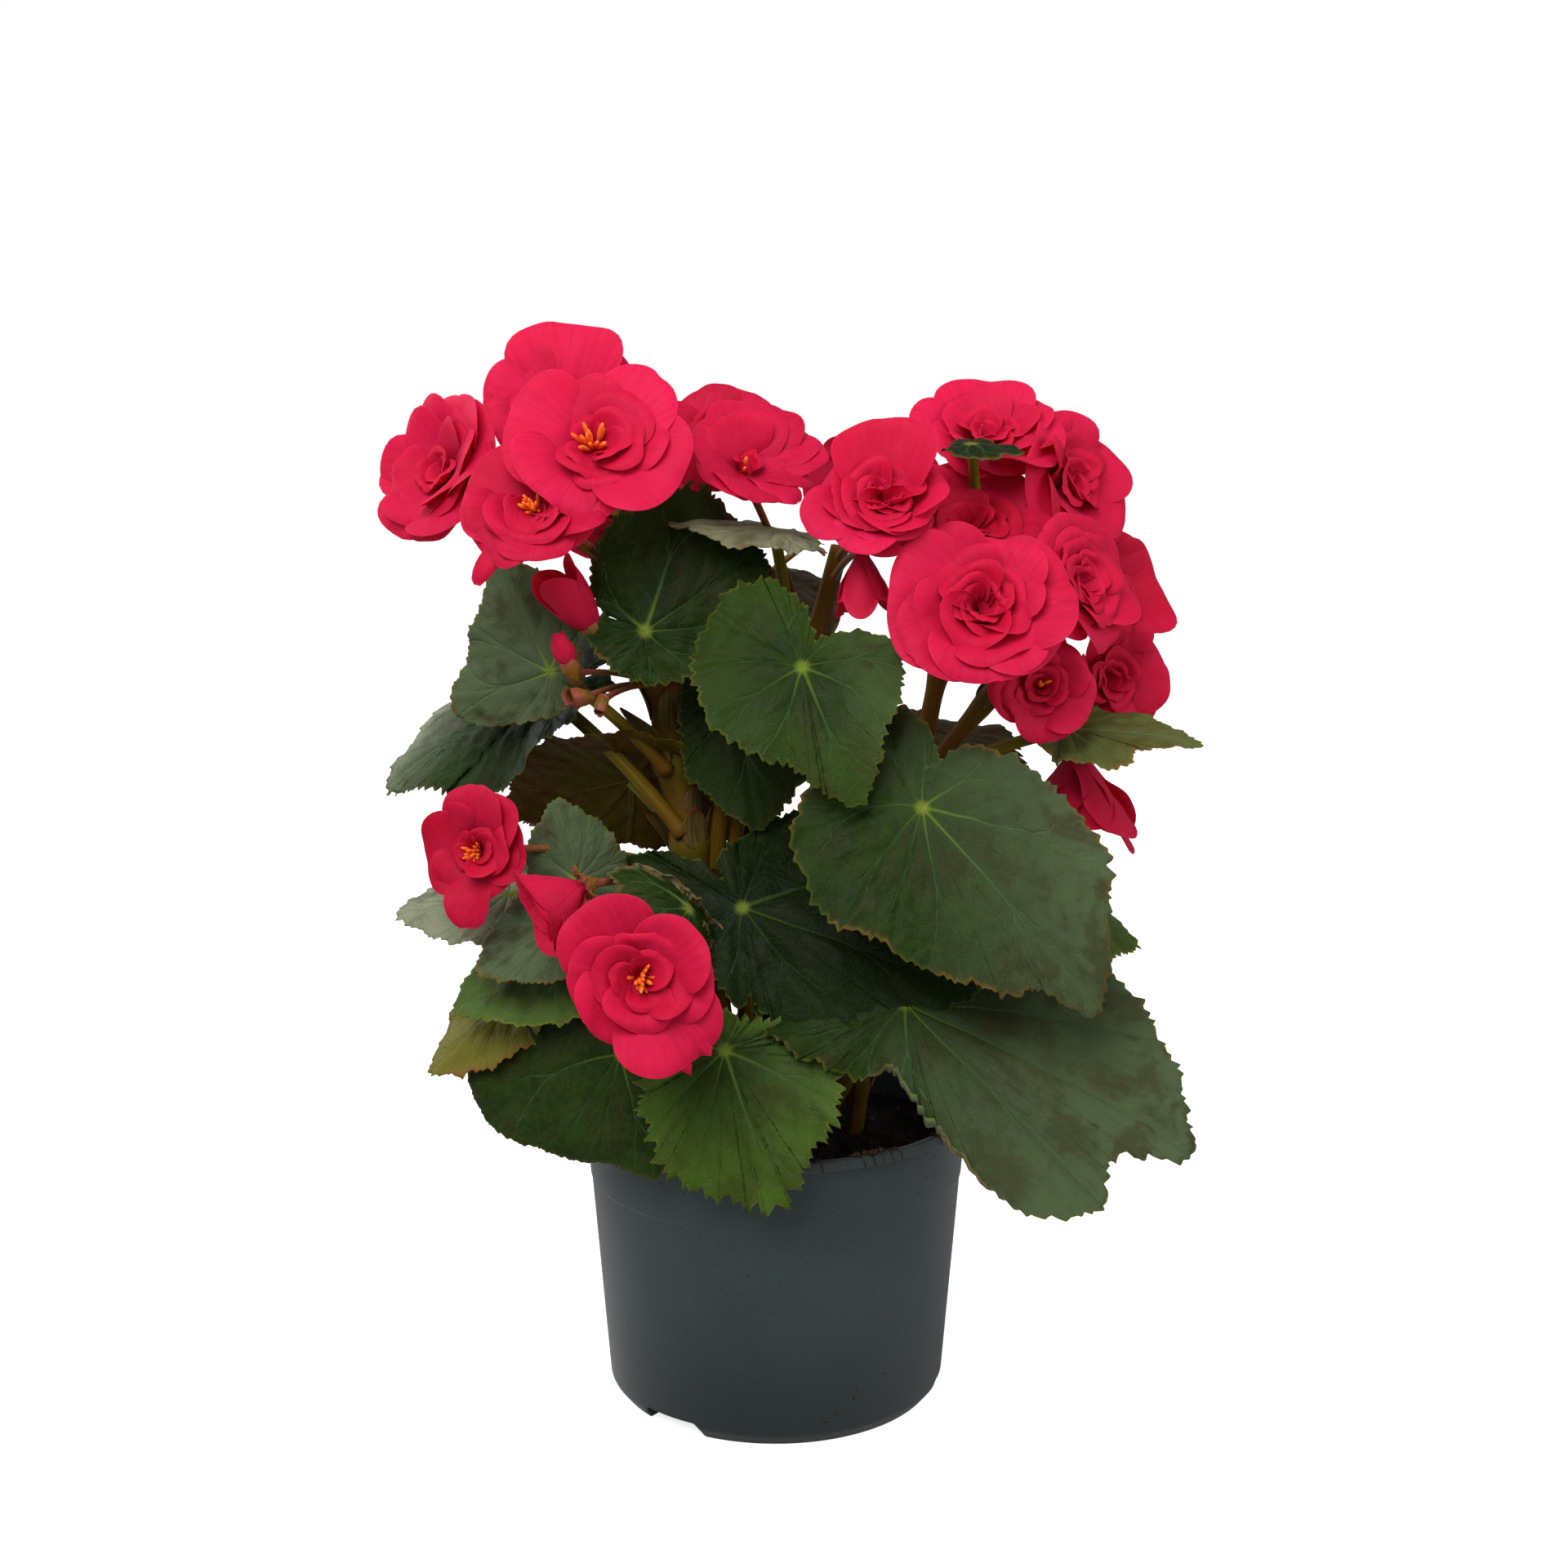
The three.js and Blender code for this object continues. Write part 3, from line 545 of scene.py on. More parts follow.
def sheet(edge, middle, reaches, lay, thickness):
    """A thin closed sheet. Its flat edge runs clockwise about its middle, and lay(x, y, reach) puts each
    flat place into space. Returns its rings, its two middle points, and each point's flat place,
    reach and side, 0 above and 1 below."""
    reach = np.concatenate([[0], reaches])[:, None] + np.zeros(len(edge))
    flat = middle + (edge - middle) * reach[..., None]
    x, y = flat[..., 0], flat[..., 1]
    mid = lay(x, y, reach)
    normal = np.cross(lay(x + 0.05, y, reach) - mid, lay(x, y + 0.05, reach) - mid)
    normal /= np.linalg.norm(normal, axis=-1, keepdims=True)
    half = (thickness / 2 * (1 - 0.6 * reach**4))[..., None]
    upper, lower = mid + normal * half, mid - normal * half
    rings = np.concatenate([upper[1:], lower[:0:-1]])

    def listed(values):
        both = np.concatenate([values[1:], values[:0:-1]]).reshape(-1, *values.shape[2:])
        return np.concatenate([values[0, :1], both, values[0, :1]])

    below = np.arange(rings.shape[0] * rings.shape[1] + 2) > rings.shape[0] * rings.shape[1] / 2
    return rings, upper[0, 0], lower[0, 0], listed(flat), listed(reach), below.astype(float)


# Fine lines that run along a stalk or fan out over a petal.
values = {"Across": 0.0, "Along": 0.0, "Lines": 30.0, "Seed": 0.0}
streaks, given, out = group_of("Lengthwise streaks", values, "Value")
across = Value(given["Across"]) * given["Lines"]
stretch = add_node(streaks, "CombineXYZ", {0: across, 1: given["Along"], 2: given["Seed"]})
texture = {"Vector": stretch.outputs[0], "Scale": 1.0, "Detail": 3.0, "Roughness": 0.6}
streaks.links.new(add_node(streaks, "TexNoise", texture).outputs[0], out)


def streaked(tree, across, along, lines, seed):
    """Fine lines in a material, so many to one unit across."""
    return placed(tree, streaks, {"Across": across, "Along": along, "Lines": lines, "Seed": seed})


def on_rings(rings, *values):
    """Four numbers for each point of a skin over these rings, from one to four that are given by ring or
    by place around. The two end points are marked like the points beside them."""
    marks = [np.broadcast_to(v, rings.shape[:2]).ravel() for v in (*values, 0, 0, 0)[:4]]
    return [np.concatenate([v[:1], v, v[-1:]]) for v in marks]


def marks_of(tree, name):
    """The four numbers of a piece's mark."""
    mark = add_node(tree, "Attribute", attribute_name=name)
    parts = add_node(tree, "SeparateXYZ", {0: mark.outputs["Vector"]})
    return (Value(socket) for socket in (*parts.outputs, mark.outputs["Alpha"]))


bark, tree, shader = finish_of("stem_skin", {"Roughness": 0.5, "Specular IOR Level": 0.07})
around, along, joint, _ = marks_of(tree, "place")
lines = streaked(tree, around, along * 0.06, 9.0, 2.0)
cloud = mottled(tree, 50.0, 600.0, 0.3)
colour = tint(ease(cloud, 0.38, 0.62), paint(72, 63, 9), paint(90, 58, 10))
colour = tint(ease(lines, 0.45, 0.7) * 0.5, colour, paint(48, 34, 6))
colour = tint(joint * 0.5, colour, paint(80, 78, 16))
colour = tint(ease(along, 195.0, 240.0, 0.0, 0.6), colour, paint(104, 66, 18))
dress(shader, colour, relief=lines, strength=0.5, depth=0.0006)

papery, tree, shader = finish_of("papery_scale", {"Roughness": 0.7, "Specular IOR Level": 0.1})
across, along, _, _ = marks_of(tree, "place")
lines = streaked(tree, across, along, 14.0, 5.0)
colour = tint(ease(lines, 0.35, 0.65), paint(70, 58, 20), paint(100, 80, 40))
dress(shader, tint(ease(along, 0.75, 1.0), colour, paint(88, 30, 18)))

for number, (name, radius, corners, joints) in enumerate(STEMS):
    luck = random.Random(20 + number)
    path = smooth_path(corners, STEM_RINGS)
    height = path[:, 2]
    swell = sum(np.exp(-(((height - joint) / JOINT_LENGTH) ** 2)) for joint in joints)
    taper = np.interp(height, [height[0], height[-1]], STEM_TAPER)
    turn = 2 * np.pi * np.arange(STEM_SIDES) / STEM_SIDES
    ribs = 1 + 0.035 * np.sin(5 * turn[None] + height[:, None] * 0.01) + 0.02 * np.sin(9 * turn[None] + 1)
    radii = radius * (taper * (1 + JOINT_SWELLING * swell))[:, None] * ribs
    stem = Piece()
    rings = np.array(tube(path, radii, STEM_SIDES))
    around = np.abs(turn / np.pi - 1)
    stem.add(rings, path[0], path[-1], place=on_rings(rings, around, height[:, None], swell[:, None]))
    for shoot_radius, shoot_corners in SHOOTS.get(name, ()):
        way = smooth_path(shoot_corners, SHOOT_RINGS)
        rings = np.array(tube(way, shoot_radius * np.linspace(*SHOOT_TAPER, SHOOT_RINGS), STEM_SIDES))
        stem.add(rings, way[0], way[-1], place=on_rings(rings, around, way[:, 2:]))
    scales = [(joint, math.radians(azimuth), *size) for joint, azimuth, *size in BROAD_SCALES.get(name, ())]
    for joint in joints:
        spin = luck.uniform(0, math.tau)
        for turn in (spin, spin + SCALE_SPACING):
            size = (radius * share * luck.uniform(0.75, 1.1) for share in (SCALE_LENGTH, SCALE_WIDTH))
            scales.append((joint, turn, *size))
    for joint, turn, length, width in scales:
        i = int(np.argmin(np.abs(height - joint)))
        grow = unit(path[min(i + 3, STEM_RINGS - 1)] - path[max(i - 3, 0)])
        out_way = unit(np.cross(np.cross(grow, (math.cos(turn), math.sin(turn), 0)), grow))
        aside = np.cross(grow, out_way)
        foot = path[i] + out_way * radii[i].mean() * 0.9 - grow * 2
        spread = luck.uniform(0.15, 0.5)

        def lay(x, y, reach):
            lift = spread * y * y / length + 0.6 - 0.45 * x * x / radius * (1 - 0.6 * y / length)
            parts = ((x, aside), (y, grow), (lift, out_way))
            return foot + sum(np.multiply.outer(amount, way) for amount, way in parts)

        rim = 2 * np.pi * np.arange(SCALE_POINTS) / SCALE_POINTS
        pointed = 1 - 0.45 * np.clip(np.cos(rim), 0, 1) ** 2
        edge = np.stack([width / 2 * np.sin(rim) * pointed, length / 2 * (1 + np.cos(rim))], -1)
        rings, start, end, flat, _, _ = sheet(edge, (0, length * 0.4), SCALE_REACHES, lay, SCALE_THICKNESS)
        stem.add(rings, start, end, 1, (flat[:, 0] / width, flat[:, 1] / length, 0, 0))
    stem = stem.made(name + "_fine", bark, papery)
    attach(stem, "root")
    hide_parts(name)

# ---- Leaves --------------------------------------------------------------------------------------
# Lopsided heart-shaped blades with irregularly toothed edges. Seven to nine veins fan out from the
# pale point where the stalk meets the blade. The skin is dull dark green with a purple-brown cast
# above and reddish below, and its margin is yellow-green to rust. A greyish sheen is painted into the
# colour, and so is the shade on leaves and halves of leaves that lie in shadow.
HEART = [1, 0.78, 0.66, 0.63, 0.6, 0.55, 0.4, 0.5, 0.55, 0.57, 0.62, 0.76]
OBLIQUE_HEART = [1, 0.66, 0.54, 0.52, 0.48, 0.42, 0.38, 0.42, 0.36, 0.36, 0.54, 0.77]
ROUND_HEART = [1, 0.66, 0.68, 0.71, 0.74, 0.76, 0.68, 0.3, 0.3, 0.6, 0.68, 0.7]
TWO_LOBED = [1, 0.84, 0.34, 0.25, 0.3, 0.46, 0.44, 0.34, 0.34, 0.34, 0.42, 0.78]
LONG_LOBED = [1, 0.64, 0.5, 0.3, 0.28, 0.42, 0.6, 0.34, 0.3, 0.5, 0.67, 0.76]
SHORT_BACKED = [1, 0.88, 0.7, 0.5, 0.36, 0.28, 0.2, 0.18, 0.22, 0.4, 0.72, 0.8]
WIDE_RIGHT = [1, 0.9, 1.12, 1.55, 1.62, 1.4, 0.95, 0.5, 0.36, 0.42, 0.52, 0.7]
WIDE_LEFT = [1, 0.78, 0.4, 0.28, 0.28, 0.3, 0.32, 0.38, 0.52, 0.96, 0.78, 0.78]
HALF_LEFT = [1, 0.93, 0.8, 0.7, 0.55, 0.48, 0.42, 0.38, 0.34, 0.34, 0.5, 0.65]
INNER = [1, 0.74, 0.5, 0.4, 0.4, 0.44, 0.4, 0.46, 0.52, 0.56, 0.64, 0.8]
ROLLED = [1, 0.62, 0.42, 0.34, 0.4, 0.75, 1.0, 0.8, 0.5, 0.42, 0.5, 0.7]
ROUND_BACK = [1, 0.9, 0.8, 0.78, 0.8, 0.78, 0.7, 0.85, 0.85, 0.8, 0.76, 0.86]
FAN = [1, 0.93, 0.76, 0.46, 0.38, 0.33, 0.3, 0.3, 0.34, 0.38, 0.52, 0.77]
SLIM = [1, 0.7, 0.42, 0.32, 0.28, 0.3, 0.34, 0.34, 0.34, 0.4, 0.58, 0.66]
BLADE_THICKNESS, EDGE_STEP = 0.5, 0.5
CLEFT_HALF, CURL_RADIUS, NEAR_HUB = 10, 1.5, 0.02  # degrees, millimetres, and the least reach counted
VEIN_DEPTH, VEIN_HALF, PILLOW_HEIGHT, HILL_HEIGHT, HUMMOCK_HEIGHT = 0.01, 0.03, 0.003, 0.02, 0.3
EDGE_WAVES = [(7, 3, 0.016, 0), (3, 2, 0.03, 1), (16, 5, 0.01, 2)]  # waves round, power, height, phase
COARSE_TEETH, FINE_TEETH = (6.0, 0.12, 0.03), (2.4, 0.045, 0.026)  # least pitch, pitch and height in spans
VEIN_FAN = math.radians(40)
VEIN_SWEEP = 0.12
FORK_START, FORK_SPREAD = 0.42, 0.5
SIDE_VEIN_STEP, SIDE_VEIN_SLANT = 0.17, 1.1
BLADE_ROWS = [(60, 28), (30, 20), (0, 10)]  # rows of points from the hub out, in a blade longer than this
STALK_ARCH, STALK_SIDES, STALK_SHORT = 0.1, 14, 1.1
STALK_RADIUS, STALK_SHARE, STALK_TAPER = 1.6, 0.013, 0.15
STALK_FOOT, FOOT_SHARE = 0.7, 0.06  # how much wider a stalk is at its foot, and over what share of it

LEAVES = []


def leaf(name, outline, hub, tip, face, root, droop=0.3, fold=0.2, grey=0.4, fresh=0.1, rust=0.2,
         shade=(0, 0), cleft=(180, 0.75), cuts=(), jag=1.0, curl=None):
    """A leaf: its outline at every 30 degrees, where its stalk meets it, its tip, the way it faces, where
    its stalk springs from, and how it arches and folds. Then how grey it is, or how dark if that is
    below 0, how fresh green and how rusty. The grey is partly the blade's own grey-beige and partly a
    painted sheen, and the dark below 0 is painted shade. Shade is how the grey grows across and along
    the blade, which paints light on one side and shade on the other. The cleft and cuts are the angle
    from the tip and the depth of its notches, jag is the size of its teeth, and curl is where its margin
    rolls up and how far."""
    nature = (grey, fresh, rust)
    LEAVES.append((name, outline, hub, tip, face, root, droop, fold, nature, shade, cleft, cuts, jag, curl))


# A grey above 0 is partly a painted sheen and one below 0 is painted shade. Shade tilts the grey into painted
# light on one side of a blade and painted shade on the other.
leaf("upright_left", FAN, (-39, -42, 258), (-24, -26, 300), (0, -0.95, 0.3), (-38, -8, 236), 0.2, 0.1,
     grey=-0.1, rust=0.6, cleft=(274, 0.6))
leaf("upper_grey", HEART, (0, -28, 287), (-31, -34, 289), (0.05, -0.12, 1), (5, -6, 250), 0.3, 0.15, grey=1.7,
     rust=1.2, jag=1.8)
leaf("front_heart", ROUND_HEART, (8, -62, 250), (24, -79, 213), (0, -0.92, 0.35), (4, -5, 222), 0.25, 0.12,
     grey=-0.1, fresh=0.3, rust=0.1, shade=(-0.9, 0.1), cleft=(226, 0.35), jag=1.2)
leaf("inner_dark", INNER, (-12, -14, 236), (-6, -30, 195), (0.1, -0.9, 0.4), (-6, -4, 190), 0.2, 0.1,
     grey=-0.6)
leaf("front_large", OBLIQUE_HEART, (43, -72, 210), (94, -88, 153), (0, -0.8, 0.6), (16, 0, 160), 0.35, 0.16,
     grey=0.15, rust=0.7, shade=(-0.9, 0.5), cleft=(240, 0.6), cuts=[(10, 0.12, 5)])
leaf("front_dark", LONG_LOBED, (-10, -48, 174), (59, -60, 150), (-0.1, -0.8, 0.6), (-10, 2, 120), grey=-1,
     fresh=0.1, rust=0, cleft=(214, 0.7), cuts=[(62, 0.3, 7)])
leaf("right_low", TWO_LOBED, (39, -64, 148), (123, -89, 111), (0.15, -0.75, 0.65), (12, -6, 84), 0.35, 0.15,
     grey=0.1, shade=(0, 0.8), cleft=(215, 0.5), cuts=[(11, 0.16, 7)], curl=(66, 28, 5))
leaf("rim_front", SHORT_BACKED, (-15, -68, 135), (0, -78, 91), (-0.05, -0.95, 0.3), (-8, -12, 84), 0.2, 0.2,
     grey=0, fresh=0.85, rust=0.1, shade=(-0.6, 0), jag=2.3)
leaf("rim_left", WIDE_RIGHT, (-47, -56, 130), (-37, -66, 94), (-0.4, -0.8, 0.45), (-24, -14, 84), grey=0,
     rust=0, jag=0.5)
leaf("curled", ROLLED, (-26, -60, 177), (-48, -58, 187), (0.35, -0.5, 0.8), (-22, -16, 150), 0.9, 0.5, grey=0,
     fresh=0.1, rust=1, jag=2, curl=(90, 80, 6))
leaf("left_upper", WIDE_LEFT, (-69, -30, 244), (-85, -24, 277), (-0.35, -0.8, 0.45), (-34, -14, 210), 0.2,
     0.2, grey=1, rust=0.9, cleft=(155, 0.6), jag=0.7)
leaf("left_drooping", HALF_LEFT, (-74, -4, 234), (-127, 14, 199), (-0.4, -0.45, 0.8), (-29, -17, 190),
     grey=-1, fresh=0.1, rust=0, shade=(2.2, 2.2))
leaf("left_underside", ROUND_BACK, (-47, 8, 203), (-88, 24, 190), (-0.2, 0.75, 0.6), (-27, -2, 180), 0.2,
     0.15, grey=0)
leaf("left_small_upright", HEART, (-61, -40, 181), (-68, -32, 204), (-0.1, -0.7, 0.7), (-24, -16, 160),
     grey=0.8, jag=1.3)
leaf("left_small_far", HEART, (-84, -22, 172), (-118, -26, 165), (-0.1, -0.4, 0.9), (-23, -4, 150), grey=1.7,
     jag=1.3)
leaf("left_brown", HEART, (-64, -44, 170), (-90, -50, 154), (-0.2, -0.7, 0.7), (-21, -14, 140), grey=1,
     rust=1, jag=1.2)
leaf("left_green", HEART, (-64, -34, 156), (-101, -36, 139), (-0.2, -0.55, 0.8), (-20, -10, 125), grey=0.5,
     fresh=0.9)
leaf("left_yellow", HEART, (-84, -22, 140), (-108, -26, 114), (-0.55, -0.5, 0.65), (-24, 0, 84), grey=0,
     fresh=1, rust=1.8, jag=1.3)
leaf("bract", HEART, (59, -30, 313), (74, -34, 310), (0, -0.22, 0.97), (64, -6, 280), grey=-0.6, fresh=0,
     rust=1, cleft=(180, 0.2), jag=1.5)
leaf("right_pointed", SLIM, (89, -34, 227), (127, -50, 224), (0.1, -0.4, 0.9), (50, -10, 206), grey=0.5,
     fresh=0.4, rust=1.3, shade=(0, 0.4), cuts=[(20, 0.2, 8)])
leaf("right_far", HEART, (86, 6, 168), (120, 20, 144), (0.4, -0.2, 0.8), (36, 4, 140), grey=0, fresh=0.8)
leaf("back_top", ROUND_HEART, (4, 62, 262), (14, 100, 240), (0.1, 0.5, 0.85), (-6, 50, 240), fresh=0.4)
leaf("back_right", HEART, (44, 56, 214), (78, 92, 178), (0.3, 0.6, 0.7), (-6, 44, 190), 0.35, 0.2, rust=0.5)
leaf("back_left", OBLIQUE_HEART, (-50, 54, 206), (-86, 88, 170), (-0.3, 0.6, 0.7), (-6, 42, 180), 0.35, 0.2,
     grey=0.7, rust=0.4, cleft=(240, 0.6))
leaf("back_low_right", HEART, (52, 44, 150), (92, 82, 112), (0.4, 0.5, 0.75), (2, 30, 110), 0.35, 0.2,
     grey=0.1)
leaf("back_low_left", HEART, (-54, 42, 146), (-92, 72, 106), (-0.4, 0.5, 0.75), (-8, 28, 105), 0.35, 0.2,
     fresh=0.4)
leaf("back_low", ROUND_HEART, (-2, 64, 150), (4, 106, 104), (0, 0.7, 0.7), (-4, 34, 120), 0.35, 0.2,
     fresh=0.5)


def off_angle(turn, degrees):
    """The angle between a turn in radians and one in degrees, in degrees."""
    return (np.degrees(turn) - degrees + 180) % 360 - 180


def blade_edge(outline, span, notches, jag, luck):
    """The toothed edge of a blade in its flat plane, clockwise from the tip."""
    turn = 2 * np.pi * np.arange(1440) / 1440
    step = turn / (2 * np.pi) * 12
    i, t = step.astype(int), step % 1
    around = np.array(outline)
    before, start, end, after = (around[(i + k) % 12] for k in (-1, 0, 1, 2))
    rise, begin, finish = start - end, (end - before) / 2, (after - start) / 2
    reach = start + t * (begin + t * (-3 * rise - 2 * begin - finish + t * (2 * rise + begin + finish)))
    from_tip = off_angle(turn, 0)
    reach *= 1 - 0.06 * (1 - np.exp(-np.abs(from_tip) / 5)) * np.exp(-((from_tip / 26) ** 2))
    for angle, depth, half in notches:
        reach *= 1 - depth * np.exp(-((off_angle(turn, angle) / half) ** 2))
    lobes = np.abs((np.radians(from_tip) / VEIN_FAN + 0.5) % 1 - 0.5) * 2
    reach *= 1.015 - 0.05 * lobes * np.clip(1 - (np.abs(from_tip) / 180) ** 6, 0, 1)
    corners = span * np.stack([reach * np.sin(turn), reach * np.cos(turn)], -1)
    closed = np.vstack([corners, corners[:1]])
    run = np.concatenate([[0], np.cumsum(np.linalg.norm(np.diff(closed, axis=0), axis=1))])
    count = int(run[-1] / EDGE_STEP)
    at = run[-1] * np.arange(count) / count
    edge = np.stack([np.interp(at, run, closed[:, k]) for k in (0, 1)], -1)
    along = np.roll(edge, -1, 0) - np.roll(edge, 1, 0)
    along /= np.linalg.norm(along, axis=1, keepdims=True)
    outward = np.stack([-along[:, 1], along[:, 0]], -1)
    travel = np.minimum(at, run[-1] - at)
    teeth = 0
    for least, share, height in (COARSE_TEETH, FINE_TEETH):
        pitch = max(least, span * share)
        for half in (at <= run[-1] / 2, at > run[-1] / 2):
            ends = pitch * np.cumsum([luck.uniform(0.5, 1.5) for _ in range(int(run[-1] / pitch) + 8)])
            sizes = np.array([luck.uniform(0.35, 1.25) for _ in ends])
            i = np.searchsorted(ends, travel)
            begin = np.concatenate([[0], ends])[i]
            part = (travel - begin) / (ends[i] - begin)
            teeth = teeth + half * height * sizes[i] * np.where(part < 0.3, part / 0.3, (1 - part) / 0.7)
    calm = np.clip(np.linalg.norm(edge, axis=1) / span / 0.25, 0, 1)
    return edge + outward * (teeth * jag * min(span, 60) * calm)[:, None]


def fanned(x, y, phases):
    """A flat place turned about the hub, so that the main veins don't lie at equal angles."""
    turn, r = np.arctan2(x, y), np.hypot(x, y)
    for k, share in ((1, 0.2), (2, 0.15), (3, 0.08)):
        turn = turn + share * (np.sin(k * turn + phases[k]) - math.sin(phases[k]))
    return r * np.sin(turn), r * np.cos(turn)


def veins_at(x, y, reach, span):
    """How far a flat place is from its nearest main vein in millimetres, and its step between side veins."""
    turn = np.arctan2(x, y) * (1 + VEIN_SWEEP * reach) / VEIN_FAN
    off = turn - np.round(turn)
    r = np.hypot(x, y)
    beside, along = r * np.sin(np.abs(off) * VEIN_FAN), r * np.cos(off * VEIN_FAN)
    return beside, (along - SIDE_VEIN_SLANT * beside) / (SIDE_VEIN_STEP * span) + 0.5 * (off > 0)


def stalk_path(root, end, count=30):
    """A stalk rises from its root and arches over to its end."""
    root, end = np.asarray(root, float), np.asarray(end, float)
    arch = (root + end) / 2 + (0, 0, STALK_ARCH * np.linalg.norm(end - root))
    t = np.linspace(0, 1, count)[:, None]
    return (1 - t) ** 2 * root + 2 * t * (1 - t) * arch + t * t * end


def add_stalk(piece, path, radii, look):
    """A stalk along a path, marked with how far around and along it each point is."""
    rings = np.array(tube(path, radii, STALK_SIDES))
    around = np.abs(2 * np.arange(STALK_SIDES) / STALK_SIDES - 1)
    along = np.linspace(0, 1, len(path))[:, None]
    piece.add(rings, path[0], path[-1], look, on_rings(rings, around, along))


def shine_through(shader, colour, share):
    """Lets light through a thin sheet, in this colour."""
    tree = shader.id_data
    glow = add_node(tree, "BsdfTranslucent", {"Color": colour})
    lit = add_node(tree, "MixShader", {0: share, 1: shader.outputs[0], 2: glow.outputs[0]})
    tree.links.new(lit.outputs[0], tree.nodes["Material Output"].inputs["Surface"])


blade_skin, tree, shader = finish_of("leaf_blade", {"Specular IOR Level": 0.07})
right, forward, margin, span = marks_of(tree, "place")
grey, fresh, rust, under = marks_of(tree, "nature")
r = calc("SQRT", right * right + forward * forward)
cloud = mottled(tree, 45.0, 420.0, 0.35)
patch = mottled(tree, 70.0, 260.0, 0.3)
reach = r / (r + margin / span)
turn = calc("ARCTAN2", right, forward) / VEIN_FAN * (reach * VEIN_SWEEP + 1.0)
turn = turn + (patch - 0.5) * ease(reach, 0.1, 1.0, 0.0, 0.35)
off = calc("WRAP", turn, 0.5, -0.5)
spread = calc("ABSOLUTE", off) * VEIN_FAN
beside = r * calc("SINE", spread)
along = r * calc("COSINE", spread)
beside_mm = beside * span
from_midrib = calc("ABSOLUTE", turn - off)
strong = 1.0 - from_midrib * 0.17
vein_width = ease(reach, 0.0, 1.0, 0.85, 0.2) * strong
main_vein = clamped(1.0 - beside_mm / vein_width) * (strong * 0.7 + 0.3)
main_vein = main_vein * ease(reach, FORK_START, 0.8, 1.0, 0.3)
apart = calc("ABSOLUTE", calc("ABSOLUTE", off) - (reach - FORK_START) * FORK_SPREAD)
apart = apart * VEIN_FAN * r * span
fork = clamped(1.0 - apart / 0.4) * ease(reach, FORK_START - 0.04, FORK_START + 0.04)
main_vein = calc("MAXIMUM", main_vein, fork * 0.8)
side_step = (along - beside * SIDE_VEIN_SLANT) / SIDE_VEIN_STEP
side_step = side_step + calc("GREATER_THAN", off, 0.0) * 0.5 + (cloud - 0.5) * 1.4
to_side_vein = calc("PINGPONG", side_step, 0.5)
side_gap = to_side_vein * (span * (SIDE_VEIN_STEP * 0.67))
side_vein = clamped(1.0 - side_gap / ease(reach, 0.1, 1.0, 0.4, 0.2))
spot = add_node(tree, "TexCoord").outputs["Object"]
net = add_node(tree, "TexVoronoi", {"Scale": 420.0, "Vector": spot}, feature="DISTANCE_TO_EDGE")
net = ease(Value(net.outputs["Distance"]), 0.0, 0.1, 1.0, 0.0)

colour = tint(ease(cloud, 0.4, 0.62), paint(18, 35, 5), paint(33, 51, 11))
# Grey paints a sheen over the green, partly the leaf's own grey-beige; below 0 it paints shade as dark green.
colour = tint(clamped(grey * 0.8), colour, paint(86, 98, 72))
colour = tint(clamped(grey - 1.0), colour, paint(150, 152, 128))
colour = tint(clamped(grey * -1.0), colour, paint(8, 22, 5))
colour = tint(fresh * ease(reach, 0.15, 1.0, 0.2, 0.85), colour, paint(72, 98, 30))
between = ease(beside_mm, 0.6, 4.0) * ease(patch, 0.44, 0.6)
# Where shade is painted, the veins and the brown cast between them fade with it.
pale = clamped(grey * 0.35 + 0.65)
colour = tint(between * pale * 0.6, colour, paint(48, 38, 18))
colour = tint(clamped(rust - 1.0), colour, paint(110, 100, 34))
colour = tint(net * 0.08, colour, paint(70, 92, 50))
side_vein = side_vein * strong
colour = tint(side_vein * pale * 0.24, colour, paint(72, 98, 64))
vein_colour = tint(ease(reach, 0.05, 0.4), paint(116, 140, 52), paint(88, 116, 74))
colour = tint(main_vein * ease(reach, 0.0, 0.9, 0.85, 0.35) * pale, colour, vein_colour)
colour = tint(ease(r * span, 0.6, 3.2, 0.7, 0.0), colour, paint(118, 134, 48))
yellow = ease(margin, 0.0, 1.3, 0.8, 0.0) * (fresh * 0.7 + 0.4)
colour = tint(yellow, colour, paint(98, 108, 38))
worn = ease(margin, 0.2, 2.2, 0.7, 0.0) * ease(patch, 0.42, 0.62)
colour = tint(clamped(worn * rust), colour, paint(120, 82, 40))
below = tint(ease(cloud, 0.38, 0.62), paint(84, 50, 10), paint(82, 70, 14))
# The underside pales with the same grey: its own beige together with the painted sheen.
below = tint(clamped(grey * 0.8), below, paint(132, 114, 80))
veined = calc("MAXIMUM", main_vein, side_vein * 0.6)
below = tint(veined * 0.6, below, paint(120, 96, 52))
colour = tint(under, colour, below)
pillow = calc("POWER", to_side_vein * 2.0, 0.5)
relief = pillow * 0.22 - main_vein * 0.8 - net * 0.12 + patch * 0.8
dress(shader, colour, ease(cloud, 0.35, 0.65, 0.42, 0.58), relief, 0.5, 0.0012)
shine_through(shader, tint(0.5, colour, paint(90, 110, 16)), 0.08)

leaf_stalk, tree, shader = finish_of("leaf_stalk", {"Roughness": 0.45, "Specular IOR Level": 0.07})
around, along, _, _ = marks_of(tree, "place")
lines = streaked(tree, around, along * 3.0, 7.0, 8.0)
colour = tint(ease(lines, 0.4, 0.65), paint(96, 84, 12), paint(120, 108, 28))
colour = tint(ease(along, 0.0, 0.7, 0.8, 0.0), colour, paint(94, 60, 12))
colour = tint(ease(along, 0.75, 1.0) * 0.8, colour, paint(112, 128, 32))
dress(shader, colour, relief=lines)

